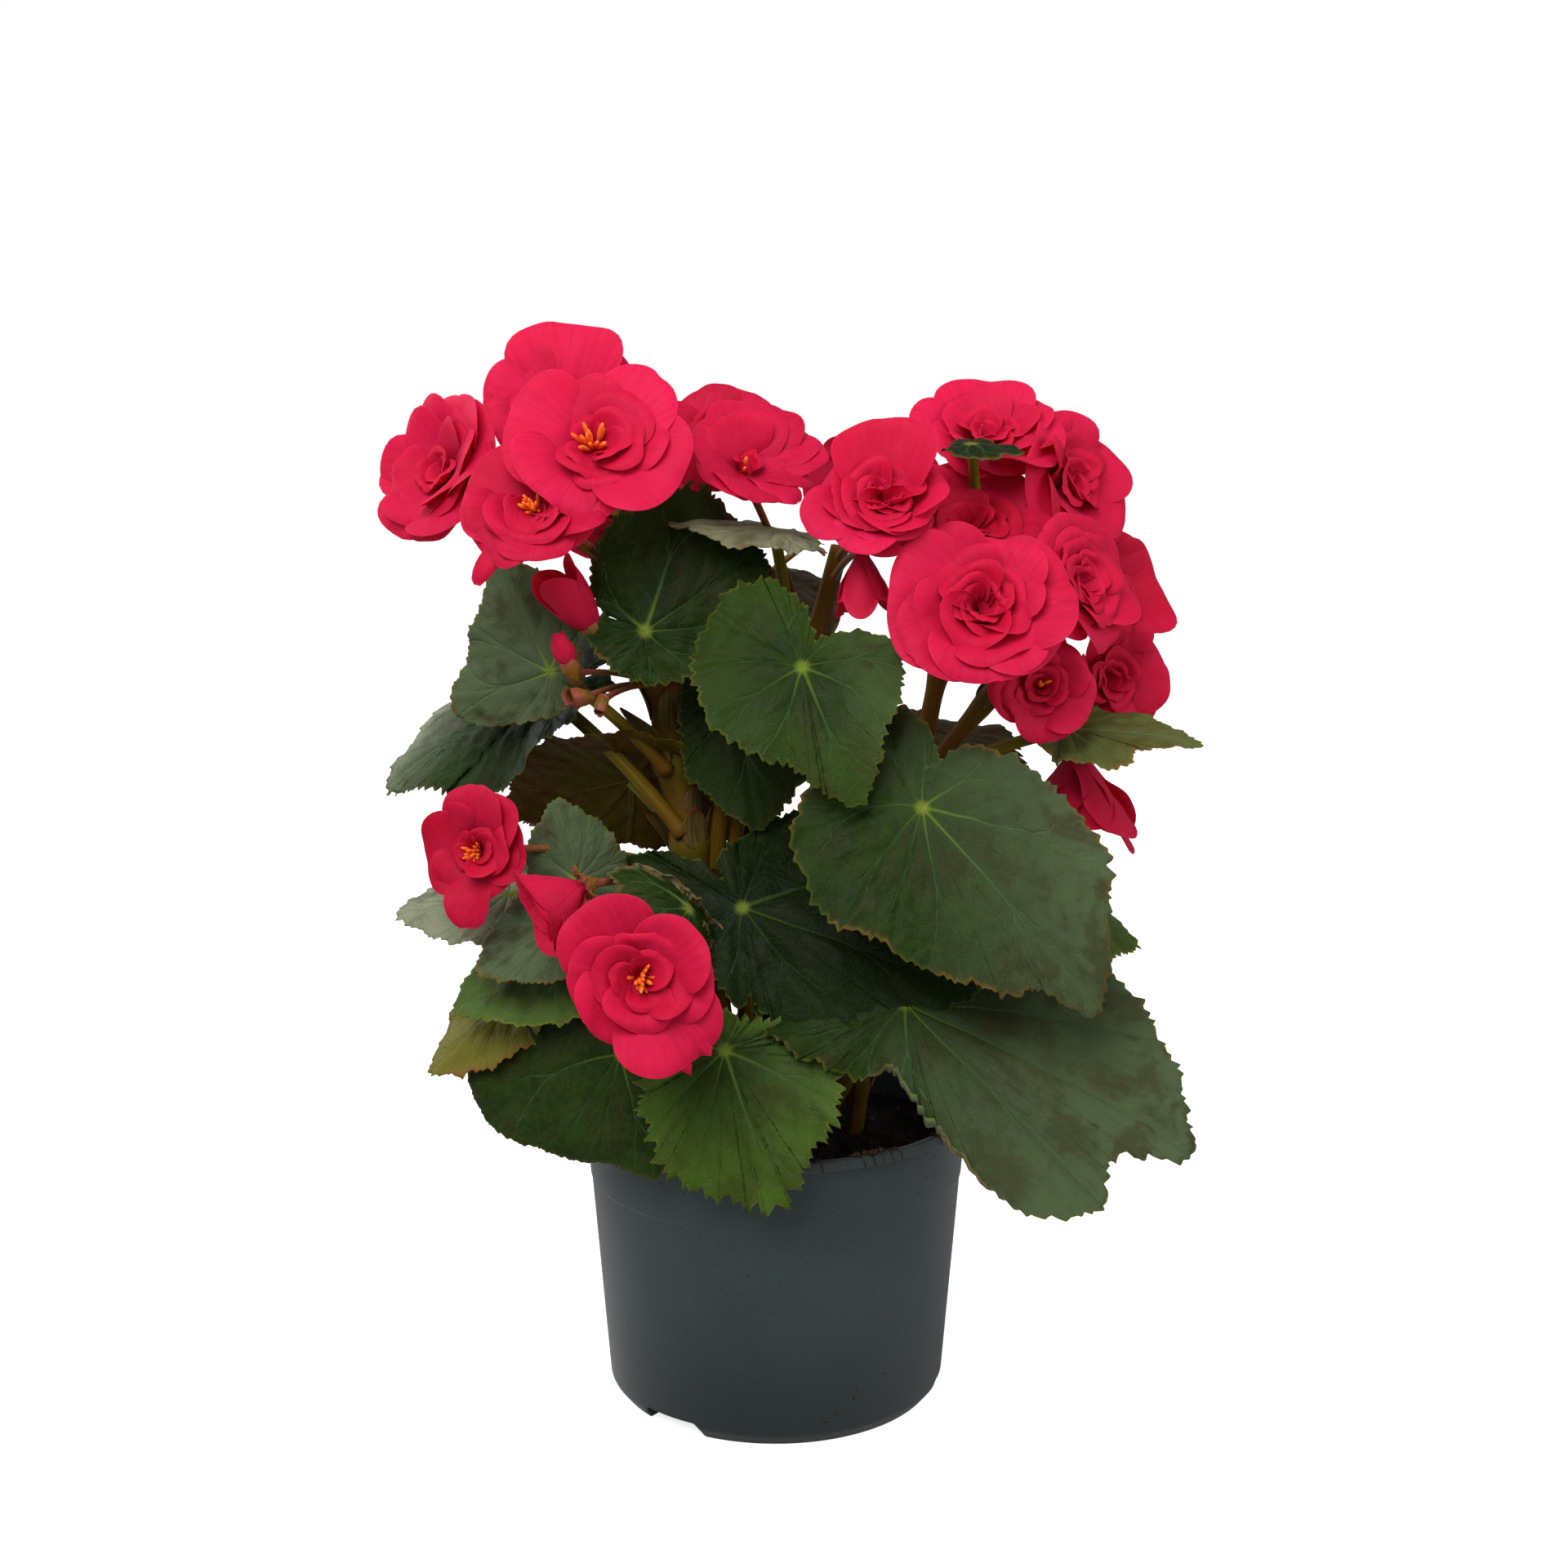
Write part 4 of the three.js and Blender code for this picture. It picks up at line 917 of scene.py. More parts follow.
for number, entry in enumerate(LEAVES):
    name, outline, hub, tip, face, root, droop, fold, nature, shade, cleft, cuts, jag, curl = entry
    luck = random.Random(100 + number)
    hub, tip = np.array(hub, float), np.array(tip, float)
    chord = tip - hub
    span = np.linalg.norm(chord) * droop / 2 / math.sin(droop / 2)
    chord = unit(chord)
    normal = unit(np.subtract(face, chord * (chord @ np.array(face))))
    across = np.cross(chord, normal)
    forward = chord * math.cos(droop / 2) + normal * math.sin(droop / 2)
    upward = normal * math.cos(droop / 2) - chord * math.sin(droop / 2)
    arc = span / droop
    phases = [luck.uniform(0, math.tau) for _ in range(4)]

    def rolled_up(x, y, gap):
        if not curl:
            return 0 * gap
        middle, half_width, depth = curl
        here = depth * np.exp(-((off_angle(np.arctan2(x, y), middle) / half_width) ** 4))
        return np.clip(here - gap, 0, None)

    def lay(x, y, reach):
        turn, r = np.arctan2(x, y), np.hypot(x, y)
        rolled = rolled_up(x, y, r * (1 / np.maximum(reach, NEAR_HUB) - 1))
        reach = r / span / np.interp(np.degrees(turn) % 360 / 30, range(13), [*outline, outline[0]])
        beside, step = veins_at(*fanned(x, y, phases), reach, span)
        calm = np.clip(r / (0.15 * span), 0, 1)
        lift = -VEIN_DEPTH * span * np.exp(-((beside / (VEIN_HALF * span)) ** 2)) * calm
        lift += PILLOW_HEIGHT * span * np.abs(np.sin(np.pi * step)) * np.clip(beside / (0.08 * span), 0, 1)
        lift += HILL_HEIGHT * span * reach**1.5 * hills(x + 100, y, 0.6 * span, 500 + number)
        lift += HUMMOCK_HEIGHT * hills(x, y + 50, 8, 560 + number) * np.clip(reach * 4, 0, 1)
        for waves, power, height, phase in EDGE_WAVES:
            lift += span * reach**power * height * np.sin(waves * turn + phases[phase])
        pull = 1 - (rolled - CURL_RADIUS * np.sin(rolled / CURL_RADIUS)) / np.maximum(r, 0.1)
        x, y = x * pull, y * pull
        lift += CURL_RADIUS * (1 - np.cos(rolled / CURL_RADIUS))
        sag = (np.hypot(x, 4) - 4) * math.sin(fold)
        bend = y / arc
        parts = (
            ((arc + lift) * np.sin(bend), forward), (x * math.cos(fold), across),
            ((arc + lift) * np.cos(bend) - arc - sag, upward))
        return hub + sum(amount[..., None] * way for amount, way in parts)

    edge = blade_edge(outline, span, [(*cleft, CLEFT_HALF), *cuts], jag, luck)
    rows = next(rows for least, rows in BLADE_ROWS if span > least)
    reaches = np.linspace(0, 1, rows + 1)[1:] ** 0.75
    rings, start, end, flat, reach, below = sheet(edge, (0, 0), reaches, lay, BLADE_THICKNESS)
    edge_gap = np.hypot(flat[:, 0], flat[:, 1]) * (1 / np.maximum(reach, NEAR_HUB) - 1)
    place = (*np.array(fanned(*flat.T, phases)) / span, edge_gap, span)
    # Painted light and shade: shade tilts the grey across and along the blade. Rolled margins show their pale
    # underside.
    grey = nature[0] + flat @ shade / span
    grey = grey + np.clip(rolled_up(*flat.T, edge_gap), 0, 1) * (1 - grey)
    grown = Piece()
    grown.add(rings, start, end, 0, place, (grey, *nature[1:], below))
    path = stalk_path(root, hub - upward * STALK_SHORT)
    along = np.linspace(0, 1, len(path))
    radii = (STALK_RADIUS + STALK_SHARE * span) * (1 - STALK_TAPER * along)
    radii += STALK_FOOT * np.exp(-along / FOOT_SHARE)
    add_stalk(grown, path, radii, 1)
    grown = grown.made(f"leaf_{name}_fine", blade_skin, leaf_stalk)
    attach(grown, "root")
    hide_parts(f"leaf_{name}")

# ---- Blooms and buds -----------------------------------------------------------------------------
# Double, rose-like blooms, crimson and velvety. A few broad round petals lie open around smaller ones
# that cup the middle, and some show orange stamens. Each hangs on a pinkish stalk with two bracts.
BLOOM_SETBACK = 0.3
RING_TURN, RING_LOOSE = 47, (1.6, 8)  # the turn between rings, and how unevenly their petals stand
PETAL_POINTS, PETAL_REACHES = 46, [0.2, 0.4, 0.58, 0.72, 0.82, 0.9, 0.96, 0.99, 1]
PETAL_THICKNESS, PETAL_STEPS, PETAL_WIDEST = 0.35, 40, 0.56
STAMEN_LEANS, STAMEN_LENGTHS = (0.05, 0.75), (0.22, 0.38)
BLOOM_STALK, BUD_STALK, STALK_FLARE = 1.15, 0.9, 0.05  # radii in millimetres, and the share that widens
BRACT_TURNS, BRACT_SHEET = (60, 240), (0.42, 0.4, 118)  # length, width and lean
CALYX_TURNS, CALYX_SHEET, CALYX_DROP = (30, 90, 150, 210, 270, 330), (1, 0.9, 34), 0.45
STAMEN_RADII = [0.28, 0.28, 0.3, 0.42, 0.62, 0.6, 0.3]  # for a bloom with a radius of 24 mm
OPEN_RINGS = [(4, 1.0, 1.35, 94), (4, 0.84, 1.15, 84)]  # petals, and their length, width and lean
CUPPED_RINGS = [(4, 0.66, 0.95, 64), (3, 0.52, 0.85, 46), (3, 0.42, 0.68, 24), (2, 0.3, 0.48, 4)]

BLOOMS = []


def bloom(name, at, face, size, root, petals=None, cups=4, stamens=0, tone=0.5, calyx=0):
    """A bloom: the middle of its face, the way it looks, its radius and where its stalk springs from.
    Petals are its open ones: azimuth clockwise from the top, length and width in radii, and how far the
    tip leans from the axis. Cups is how many of the inner rings it has, tone how light it is, and calyx
    the length of the greenish pink sheath that holds it. Tone is partly the bloom's own colour and partly
    painted light: it is set low for blooms that sit in shadow behind or under others."""
    BLOOMS.append((name, at, face, size, root, petals, cups, stamens, tone, calyx))


# Low tones below paint the shade on blooms that sit behind or under others.
bloom("left_main", (-53, -52, 315), (0, -0.85, 0.5), 28, (-42, -8, 276), cups=0, stamens=14, tone=0.8,
      petals=[
    (285, 0.98, 1.35, 93), (215, 0.86, 1.35, 90), (42, 1.03, 1.1, 94), (118, 1.08, 1.35, 96),
    (350, 0.8, 0.9, 92), (88, 0.86, 0.85, 82), (165, 0.62, 0.65, 74), (55, 0.74, 0.8, 72),
    (95, 0.66, 0.85, 60), (190, 0.52, 0.8, 56), (70, 0.52, 0.75, 46), (115, 0.48, 0.7, 34),
    (215, 0.42, 0.55, 46), (330, 0.34, 0.4, 56)])
bloom("left_top", (-67, 4, 324.5), (-0.05, -0.8, 0.6), 25, (-42, -5, 270), cups=1, tone=0.75, petals=[
    (235, 1.0, 1.1, 94), (85, 0.95, 1.1, 94), (270, 1.02, 1.2, 92), (300, 1.06, 1.1, 90), (45, 1.0, 1.1, 90),
    (180, 0.9, 1.2, 86), (130, 0.9, 1.0, 90), (2, 1.14, 1.65, 82), (220, 0.7, 1.0, 66), (100, 0.7, 1.0, 66)])
bloom("left_side", (-103, -16, 304), (-0.64, -0.64, 0.42), 25, (-41, -5, 264), cups=2, tone=0.7, calyx=12,
      petals=[
    (240, 0.98, 1.5, 90), (300, 1.0, 1.5, 90), (180, 1.0, 1.5, 92), (0, 1.04, 1.6, 90), (55, 0.97, 1.5, 93),
    (118, 0.96, 1.6, 95), (270, 0.82, 1.5, 78), (25, 0.84, 1.5, 76), (150, 0.8, 1.5, 76),
    (330, 0.66, 1.3, 66), (90, 0.68, 1.3, 64), (210, 0.66, 1.3, 66)])
bloom("left_lower", (-70, -56, 297), (-0.15, -0.8, 0.55), 24, (-41, -8, 262), cups=0, stamens=16, tone=0.4,
      petals=[
    (211, 1.25, 0.3, 118), (285, 0.95, 1.4, 90), (340, 0.85, 1.0, 92), (232, 0.9, 1.1, 90),
    (146, 0.74, 1.4, 99), (100, 1.0, 0.7, 97), (200, 0.98, 0.6, 100), (170, 0.86, 1.0, 94),
    (60, 0.85, 0.9, 92), (225, 0.7, 1.0, 76), (185, 0.64, 1.2, 70), (170, 0.54, 1.0, 56),
    (205, 0.46, 0.85, 46), (155, 0.38, 0.7, 36), (90, 0.45, 0.6, 50)])
bloom("middle_left", (-16, -12, 315), (0.1, -0.75, 0.6), 23, (-41, -6, 268), cups=3, tone=0.2, petals=[
    (340, 0.85, 1.05, 92), (215, 1.05, 0.9, 95), (270, 0.95, 1.1, 90), (30, 0.85, 1.0, 90),
    (120, 0.8, 1.0, 88), (170, 0.85, 0.8, 92)])
bloom("middle", (-8, -32, 308), (0.35, -0.6, 0.65), 23, (12, -3, 246), cups=1, stamens=4, tone=0.5, petals=[
    (60, 1.25, 1.1, 94), (38, 1.15, 1.1, 96), (12, 1.05, 1.2, 84), (90, 1.2, 0.8, 90), (190, 0.8, 1.2, 84),
    (150, 0.92, 0.5, 88), (120, 0.95, 0.5, 86), (300, 0.85, 1.0, 90), (240, 0.9, 0.9, 92),
    (350, 0.75, 1.1, 62)])
bloom("centre", (32, -50, 297.5), (0, -0.72, 0.7), 21, (19, -10, 276), cups=2, tone=0.75, petals=[
    (246, 1.28, 0.95, 92), (205, 1.08, 0.9, 95), (165, 0.76, 1.2, 88), (300, 0.96, 1.5, 74),
    (62, 0.96, 1.5, 74), (0, 1.32, 1.85, 64), (110, 0.84, 1.3, 70), (262, 0.84, 1.2, 70),
    (150, 0.74, 1.3, 66), (208, 0.74, 1.3, 64), (55, 0.68, 1.2, 52), (305, 0.68, 1.2, 52),
    (180, 0.56, 1.3, 50), (100, 0.52, 1.0, 40), (260, 0.52, 1.0, 40)])
bloom("centre_narrow", (26, -47, 279), (-0.02, -0.2, -0.98), 14, (18, -9, 270), cups=0, tone=0.3, petals=[
    (180, 1.3, 0.8, -4), (60, 1.3, 0.8, 6), (300, 1.2, 0.7, -8), (110, 1.45, 0.9, 2), (240, 1.5, 0.9, -6),
    (0, 1.55, 0.9, -12)])
bloom("right_top", (66.5, -5, 314.5), (0.1, -0.6, 0.8), 22.5, (65, -2, 276), cups=3, tone=0.8, petals=[
    (282, 1.18, 0.95, 92), (0, 1.1, 1.5, 82), (318, 1.04, 1.3, 86), (42, 1.06, 1.3, 86), (85, 1.0, 1.4, 92),
    (232, 0.95, 1.2, 95), (125, 1.08, 1.5, 97), (178, 0.9, 1.4, 94), (30, 0.82, 1.3, 68),
    (330, 0.82, 1.3, 66), (100, 0.78, 1.3, 70), (200, 0.7, 1.2, 70)])
bloom("right_upper", (94, -2, 300), (0.72, -0.6, 0.4), 25, (63, -2, 278), cups=3, petals=[
    (270, 1.1, 1.3, 100), (225, 1.05, 1.2, 96), (350, 0.98, 1.3, 88), (60, 0.97, 1.35, 80),
    (130, 0.95, 1.3, 78), (200, 0.9, 1.1, 84), (300, 1.15, 0.4, 60), (30, 0.7, 0.95, 64)])
bloom("right_behind", (59, -28, 288), (0.1, -0.6, 0.75), 27, (60, -1, 268), cups=3, tone=0.1)
bloom("right_main", (60, -64, 268), (0, -0.85, 0.5), 29, (57, -1, 258), cups=0, tone=0.65, petals=[
    (275, 1.0, 1.5, 94), (75, 0.98, 1.4, 94), (318, 1.0, 1.1, 92), (10, 0.84, 1.25, 88),
    (130, 0.92, 1.05, 93), (232, 0.96, 1.05, 94), (175, 0.86, 1.3, 88), (235, 0.74, 1.1, 76),
    (150, 0.74, 1.1, 76), (40, 0.68, 1.1, 74), (320, 0.66, 1.05, 74), (200, 0.56, 1.05, 58),
    (90, 0.54, 1.0, 56), (330, 0.52, 0.98, 54), (165, 0.42, 0.85, 34), (45, 0.42, 0.85, 30),
    (285, 0.42, 0.85, 30), (250, 0.36, 0.7, 8), (70, 0.36, 0.7, 10), (160, 0.34, 0.6, 0)])
bloom("right_facing", (92, -38, 272), (0.7, -0.65, 0.3), 24, (72, -17, 240), tone=0.6, petals=[
    (320, 1.0, 1.15, 92), (20, 0.92, 1.15, 90), (90, 0.96, 1.35, 88), (160, 0.96, 1.25, 90),
    (240, 0.9, 1.1, 90), (345, 0.82, 0.6, 70), (50, 0.74, 0.95, 72), (120, 0.74, 0.95, 70)])
bloom("right_outer", (108, 2, 263), (0.7, -0.6, 0.3), 24, (60, -1, 266), cups=3, tone=0.3, petals=[
    (0, 0.98, 1.25, 82), (80, 1.02, 1.5, 74), (150, 0.92, 1.35, 80), (230, 0.9, 1.2, 86),
    (300, 0.9, 1.1, 86)])
bloom("right_lower", (79, -50, 243), (0.15, -0.9, 0.2), 18.5, (73, -17, 243), cups=2, stamens=5, tone=0.4,
      petals=[
    (120, 0.98, 1.3, 92), (172, 0.97, 1.2, 92), (60, 0.87, 1.05, 86), (250, 0.95, 0.95, 88),
    (235, 0.8, 0.85, 70), (345, 0.64, 0.9, 74), (200, 0.6, 0.8, 60), (100, 0.56, 0.8, 58)])
bloom("right_low_outer", (105, -15, 239), (0.5, -0.85, 0.1), 22, (74, -16, 243), cups=3, tone=0.3, petals=[
    (80, 0.98, 1.35, 86), (150, 0.97, 1.2, 88), (250, 0.92, 1.25, 86), (10, 0.88, 1.05, 84),
    (40, 1.05, 0.4, 78)])
bloom("right_hanging", (96, -10, 210), (0, -0.3, -0.95), 23, (73, -14, 240), cups=0, tone=0.1, petals=[
    (180, 1.35, 1.0, 24), (130, 1.4, 0.9, 26), (230, 1.35, 0.9, 32), (280, 1.3, 1.0, 34), (80, 1.6, 0.9, 6),
    (320, 1.35, 0.9, 28), (40, 1.55, 0.9, 14), (0, 1.4, 1.0, 16)])
bloom("left_low_small", (-91, -50, 192), (-0.35, -0.85, 0.2), 19, (-27, -16, 178), cups=0, stamens=16,
      tone=0.1, petals=[
    (80, 0.95, 1.2, 96), (35, 1.1, 1.1, 94), (178, 1.28, 0.82, 96), (262, 0.92, 1.4, 90), (0, 1.1, 1.2, 92),
    (305, 0.9, 1.1, 90), (120, 0.85, 1.1, 92), (215, 0.8, 1.0, 88), (70, 0.8, 1.1, 66), (100, 0.64, 1.0, 54),
    (60, 0.52, 0.8, 42), (130, 0.52, 0.75, 44), (240, 0.44, 0.6, 52), (300, 0.42, 0.6, 52)])
bloom("left_half_open", (-60, -70, 184), (-0.8, -0.35, -0.35), 18, (-26, -16, 170), cups=0, tone=0.95,
      calyx=7, petals=[
    (270, 1.15, 1.3, 8), (225, 1.1, 1.0, 8), (315, 1.15, 1.0, 8), (172, 1.35, 0.5, 44), (180, 1.3, 1.3, 24),
    (10, 1.25, 1.4, 22), (135, 1.15, 1.2, 14), (50, 1.15, 1.2, 16), (90, 1.12, 1.4, 12)])
bloom("front_low", (-38.5, -90, 163), (0.1, -0.9, 0.15), 26, (-24, -15, 162), cups=0, stamens=18, tone=0.6,
      petals=[
    (152, 1.3, 0.2, 104), (140, 1.24, 0.22, 104), (322, 1.12, 1.25, 93), (150, 1.12, 1.35, 95),
    (280, 0.85, 0.95, 88), (232, 0.82, 1.0, 84), (95, 0.86, 0.95, 86), (50, 0.94, 1.0, 68),
    (0, 0.64, 0.95, 62), (95, 0.64, 0.95, 62), (190, 0.64, 0.95, 60), (280, 0.6, 0.9, 60),
    (40, 0.44, 0.65, 42), (160, 0.44, 0.65, 42), (265, 0.44, 0.65, 40)])
bloom("back_left", (-52, 62, 288), (-0.35, 0.8, 0.5), 26, (-6, 50, 258), cups=2, stamens=10, tone=0.6)
bloom("back_right", (34, 72, 290), (0.25, 0.85, 0.5), 26, (-6, 51, 262), tone=0.6)
bloom("back_low_right", (84, 62, 236), (0.6, 0.7, 0.3), 24, (54, 2, 240))
bloom("back_low_left", (-82, 52, 240), (-0.7, 0.6, 0.3), 23, (-7, 46, 228), cups=2, stamens=12)


def flower_frame(base, face):
    """A bloom's base, and the ways that are up, right and out along its axis as one looks at it."""
    axis = unit(face)
    up = unit(np.array((0, 0, 1.0)) - axis * axis[2]) if abs(axis[2]) < 0.99 else np.array((0, 1.0, 0))
    return np.array(base, float), up, np.cross(up, axis), axis


def add_petal(piece, stand, size, petal, layer, luck, tone, look=0):
    """One petal: a round sheet on a narrow claw, given by its azimuth, length, width and lean. It leans
    out from the bloom's axis, and one that stands up also curves around the axis."""
    base, up, right, axis = stand
    azimuth, length, width, lean = petal
    azimuth, length, width = math.radians(azimuth), length * size, width * size
    forward = math.cos(azimuth) * up + math.sin(azimuth) * right
    across = math.cos(azimuth) * right - math.sin(azimuth) * up
    spread = min(1, max(0, (lean - 55) / 30))
    claw = (0.02 + 0.02 * spread) * size
    curl_base, curl_share = (0.06 + 1.3 * spread) * size, 0.95 * (1 - spread)
    roll = luck.uniform(0.07, 0.15)
    s = np.linspace(0, 1, PETAL_STEPS + 1)
    leans = np.radians(40 + 0.12 * lean + (0.88 * lean - 40) * s**1.2)
    middle = (leans[1:] + leans[:-1]) / 2
    outward = length * np.concatenate([[0], np.cumsum(np.sin(middle))]) / PETAL_STEPS
    high = length * np.concatenate([[0], np.cumsum(np.cos(middle))]) / PETAL_STEPS
    phases = [luck.uniform(0, math.tau) for _ in range(5)]
    ruffle = luck.uniform(0.5, 1.2)

    def lay(x, y, reach):
        t = np.clip(y / length, 0, 1)
        out_here, high_here, lean_here = (np.interp(t, s, v) for v in (outward, high, leans))
        curl = curl_base + curl_share * np.maximum(out_here, 0.04 * size)
        aside, lift = curl * np.sin(x / curl), curl * (1 - np.cos(x / curl))
        turn = np.arctan2(x, y - 0.55 * length)
        frill = 0.01 * np.sin(8 * turn + phases[1]) * np.clip(t * 2 - 0.6, 0, 1)
        lift = lift + ruffle * size * reach**3 * (0.03 * np.sin(3 * turn + phases[0]) + frill)
        lift = lift + 0.05 * size * reach**2 * np.sin(2 * turn + phases[2])
        rim = np.clip((reach - 0.7) / 0.3, 0, 1) ** 2 * np.clip(2 * t, 0, 1)
        lift = lift - (0.075 - 0.03 * spread) * size * rim
        way_out = claw + out_here - lift * np.cos(lean_here)
        way_up = 0.008 * size * layer + high_here + lift * np.sin(lean_here) + aside * math.sin(roll)
        parts = ((way_out, forward), (aside * math.cos(roll), across), (way_up, axis))
        return base + sum(amount[..., None] * way for amount, way in parts)

    turn = 2 * np.pi * np.arange(PETAL_POINTS) / PETAL_POINTS
    power = np.where(np.cos(turn) > 0, 2.15, 1.6)
    tall = np.where(np.cos(turn) > 0, 1 - PETAL_WIDEST, PETAL_WIDEST) * length
    reach = (np.abs(np.sin(turn)) / (width / 2)) ** power + (np.abs(np.cos(turn)) / tall) ** power
    reach = reach ** (-1 / power)
    reach *= 1 + np.clip(np.cos(turn) + 0.6, 0, 1) * (
        0.022 * np.sin(2 * turn + phases[3]) + 0.01 * np.sin(6 * turn + phases[4]))
    edge = np.stack([reach * np.sin(turn), PETAL_WIDEST * length + reach * np.cos(turn)], -1)
    middle = (0, PETAL_WIDEST * length)
    rings, start, end, flat, reach, below = sheet(edge, middle, PETAL_REACHES, lay, PETAL_THICKNESS)
    place = (flat[:, 0] / length, flat[:, 1] / length, reach, 0)
    piece.add(rings, start, end, look, place, (tone, below, 1 - spread, luck.random()))


petal_skin, tree, shader = finish_of("petal_velvet", {
    "Roughness": 0.6, "Specular IOR Level": 0.16, "Sheen Weight": 0.1, "Sheen Roughness": 0.5,
    "Sheen Tint": paint(255, 120, 160)})
across, along, reach, _ = marks_of(tree, "place")
tone, under, depth, seed = marks_of(tree, "nature")
fan = across / (along + 0.25)
lines = streaked(tree, fan, along * 1.5, 22.0, seed * 40.0)
cloud = mottled(tree, 60.0, 500.0, 0.3)
# Tone gives each petal lighter or darker crimson: its own colour, and the painted light and shade of its
# bloom.
colour = tint(tone, paint(206, 14, 56), paint(240, 34, 92))
colour = tint(ease(cloud, 0.35, 0.65) * 0.3, colour, paint(242, 42, 106))
colour = tint(ease(lines, 0.42, 0.7) * 0.25, colour, paint(188, 4, 42))
# Painted shade, darker towards each petal's base deep in the bloom.
colour = tint(ease(along, 0.05, 0.5, 0.35, 0.0), colour, paint(172, 4, 30))
colour = tint(depth * 0.3, colour, paint(218, 10, 48))
# Painted highlight, a pale line along each petal's rim.
colour = tint(ease(reach, 0.95, 1.0, 0.0, 0.2), colour, paint(240, 66, 110))
colour = tint(under * 0.3, colour, paint(222, 44, 92))
dress(shader, colour, relief=lines, strength=0.25)
shine_through(shader, colour, 0.5)

bloom_stalk, tree, shader = finish_of("bloom_stalk", {"Roughness": 0.45, "Specular IOR Level": 0.15})
around, along, _, _ = marks_of(tree, "place")
lines = streaked(tree, around, along * 3.0, 6.0, 3.0)
cloud = mottled(tree, 160.0, 900.0, 0.4)
colour = tint(ease(lines, 0.4, 0.65), paint(108, 62, 22), paint(120, 84, 28))
colour = tint(ease(along, 0.5, 1.0, 0.0, 0.8), colour, paint(152, 66, 62))
colour = tint(ease(cloud, 0.45, 0.6) * 0.4, colour, paint(90, 82, 30))
dress(shader, colour, relief=lines, depth=0.0004)

stamen_skin, tree, shader = finish_of("orange_stamens", {"Roughness": 0.5, "Specular IOR Level": 0.3})
_, along, _, _ = marks_of(tree, "place")
cloud = mottled(tree, 300.0, 1800.0, 0.4)
colour = tint(ease(cloud, 0.35, 0.65), paint(232, 84, 24), paint(242, 128, 40))
dress(shader, tint(ease(along, 0.35, 0.75, 0.9, 0.0), colour, paint(232, 84, 92)))

for number, entry in enumerate(BLOOMS):
    name, at, face, size, root, petals, cups, stamens, tone, calyx = entry
    luck = random.Random(300 + number)
    stand = flower_frame(np.array(at) - BLOOM_SETBACK * size * unit(face), face)
    base, up, right, axis = stand
    grown = Piece()
    rows = [(*row, 1, 0) for row in petals or ()]
    rings = CUPPED_RINGS[len(CUPPED_RINGS) - cups:] if petals else OPEN_RINGS + CUPPED_RINGS[:cups]
    start_turn = luck.uniform(0, 360)
    for ring, (count, length, width, lean) in enumerate(rings):
        first = start_turn + RING_TURN * ring
        rows += [(first + 360 * k / count, length, width, lean, *RING_LOOSE) for k in range(count)]
    for layer, (azimuth, length, width, lean, loose, shift) in enumerate(rows):
        azimuth += luck.uniform(-2, 2) + shift * luck.uniform(-1, 1)
        length *= 1 + 0.03 * loose * luck.uniform(-1, 1)
        width *= 1 + 0.03 * loose * luck.uniform(-1, 1)
        petal = (azimuth, length, width, lean + 3 * loose * luck.uniform(-1, 1))
        add_petal(grown, stand, size, petal, layer, luck, min(1, max(0, tone + luck.uniform(-0.25, 0.25))))
    for k in range(stamens):
        lean, spin = luck.uniform(*STAMEN_LEANS), luck.uniform(0, math.tau)
        way = unit(axis + math.tan(lean) * (math.cos(spin) * up + math.sin(spin) * right))
        length = size * luck.uniform(*STAMEN_LENGTHS)
        foot = base + axis * 0.06 * size
        path = [foot + way * length * t + axis * length * 0.12 * t * t for t in np.linspace(0, 1, 7)]
        thick = np.array(STAMEN_RADII) * size / 24 * luck.uniform(0.8, 1.2)
        add_stalk(grown, path, thick, 2)
    for spin in BRACT_TURNS:
        add_petal(grown, stand, size, (start_turn + spin, *BRACT_SHEET), -4, luck, 0, look=1)
    held = (base - CALYX_DROP * calyx * axis, up, right, axis)
    for turn in CALYX_TURNS if calyx else ():
        add_petal(grown, held, calyx, (turn, *CALYX_SHEET), -6, luck, 0, look=1)
    path = stalk_path(root, base + 0.06 * size * axis)
    along = np.linspace(0, 1, len(path))
    radii = BLOOM_STALK + 0.35 * np.exp(-along / STALK_FLARE)
    radii += 0.09 * size * np.exp(-(1 - along) / STALK_FLARE)
    add_stalk(grown, path, radii, 1)
    grown = grown.made(f"bloom_{name}_fine", petal_skin, bloom_stalk, stamen_skin)
    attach(grown, "root")
    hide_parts(f"bloom_{name}")

# Two small groups of buds hang below the left cluster, in sheaths that are still greenish pink.
BUDS = [  # name, where its stalks spring from, and each bud's base, direction, size and showing petals
    ("pair_left", (-37, -8, 236), [
        (
            (-61, -42, 245), (-0.3, -0.2, 0.9), 14, 11,
            [(0, 1.0, 0.9, -36), (120, 1.05, 0.9, -36), (240, 1.0, 0.9, -36)]),
        ((-57, -44, 238), (-0.6, -0.5, 0.1), 11, 11, []),
        ((-52, -42, 237), (-0.2, -0.6, -0.6), 8, 8, [])]),
    ("left_pink", (-38, -7, 242), [
        ((-54, -36, 256), (-0.52, -0.25, 0.8), 18, 13,
[(0, 1.5, 1.0, -20), (120, 1.45, 1.0, -20), (240, 1.45, 1.0, -20)])]),
]
SHEATH = [(30, 1.0, 1.1, -26), (150, 1.02, 1.1, -26), (270, 1.0, 1.1, -26)]
SHEATH_DROP = 0.3
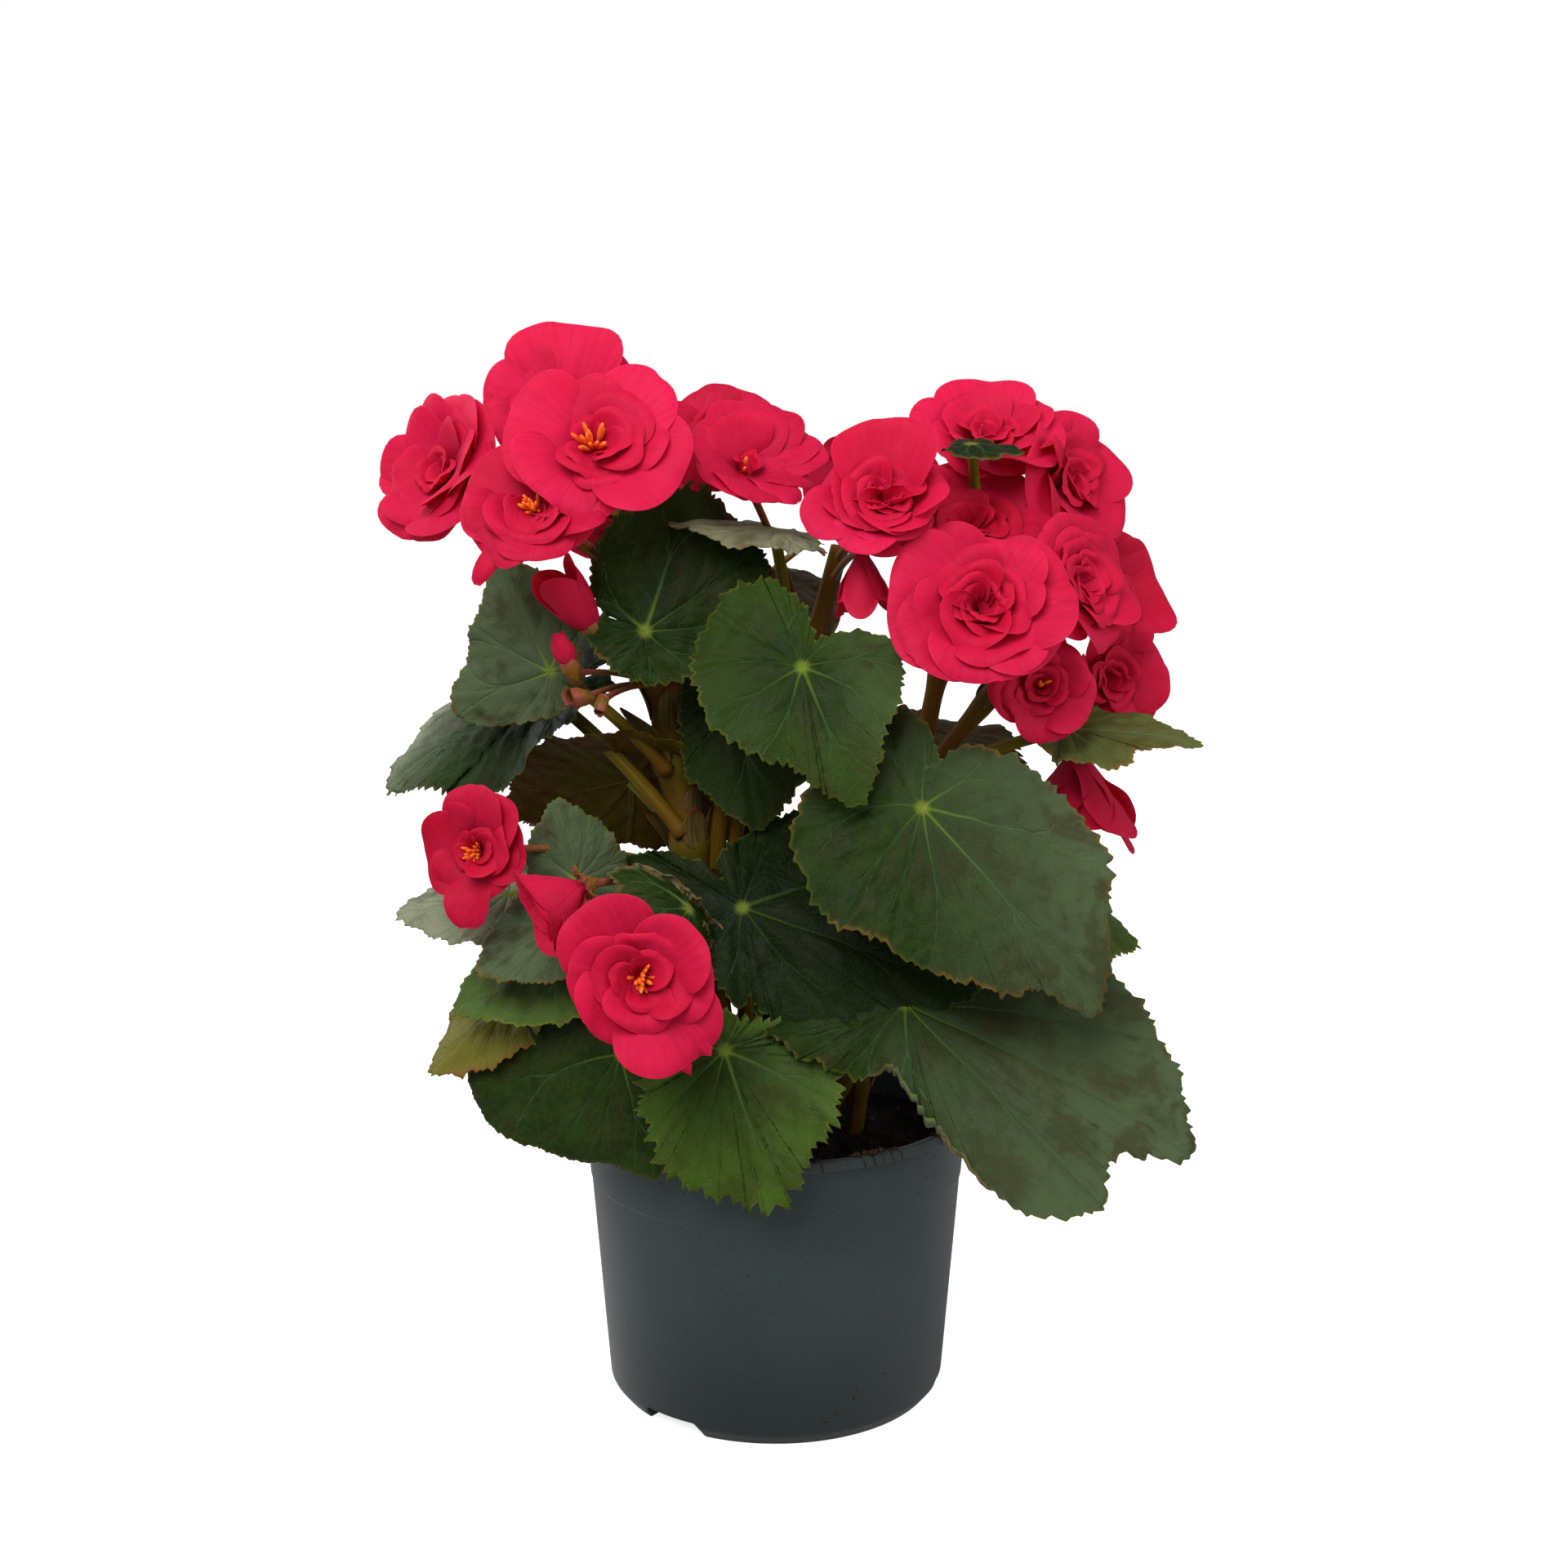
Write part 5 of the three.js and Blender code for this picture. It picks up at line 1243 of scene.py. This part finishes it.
for number, (name, root, buds) in enumerate(BUDS):
    luck = random.Random(400 + number)
    grown = Piece()
    for base, face, size, sheath, petals in buds:
        stand = flower_frame(base, face)
        for layer, petal in enumerate(petals):
            add_petal(grown, stand, size, petal, layer, luck, 0.2)
        held = (stand[0] - SHEATH_DROP * sheath * stand[3], *stand[1:])
        for layer, petal in enumerate(SHEATH):
            add_petal(grown, held, sheath, petal, layer - 4, luck, 0, look=1)
        path = stalk_path(root, base)
        along = np.linspace(0, 1, len(path))
        add_stalk(grown, path, BUD_STALK + 1.2 * np.exp(-(1 - along) / STALK_FLARE), 1)
    grown = grown.made(f"bud_{name}_fine", petal_skin, bloom_stalk)
    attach(grown, "root")
    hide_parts(f"bud_{name}")

# ---- Floor ---------------------------------------------------------------------------------------
# A plain white sweep under the pot, which isn't part of the plant. It shines a little to the camera,
# so that it runs into the white of the room without an edge and keeps only the shadow at the pot.
FLOOR_HALF, FLOOR_SHINE = 4000, 0.78
floor_mesh = bpy.data.meshes.new("floor")
corners = [(x * FLOOR_HALF * MM, y * FLOOR_HALF * MM, 0) for x, y in ((-1, -1), (1, -1), (1, 1), (-1, 1))]
floor_mesh.from_pydata(corners, [], [(0, 1, 2, 3)])
sweep, tree, shader = finish_of("white_sweep", {"Roughness": 0.9, "Specular IOR Level": 0.1})
cloud = mottled(tree, 8.0, 300.0, 0.2)
dress(shader, tint(cloud, paint(236, 236, 236), paint(240, 240, 240)))
shine = add_node(tree, "Emission", {"Color": paint(255, 255, 255), "Strength": FLOOR_SHINE})
dull = add_node(tree, "BsdfDiffuse", {"Color": paint(166, 166, 166)})
seen = add_node(tree, "LightPath").outputs["Is Camera Ray"]
bright = add_node(tree, "AddShader", {0: shader.outputs[0], 1: shine.outputs[0]})
shown = add_node(tree, "MixShader", {0: seen, 1: dull.outputs[0], 2: bright.outputs[0]})
tree.links.new(shown.outputs[0], tree.nodes["Material Output"].inputs["Surface"])
floor_mesh.materials.append(sweep)
floor = bpy.data.objects.new("floor", floor_mesh)
bpy.context.scene.collection.objects.link(floor)
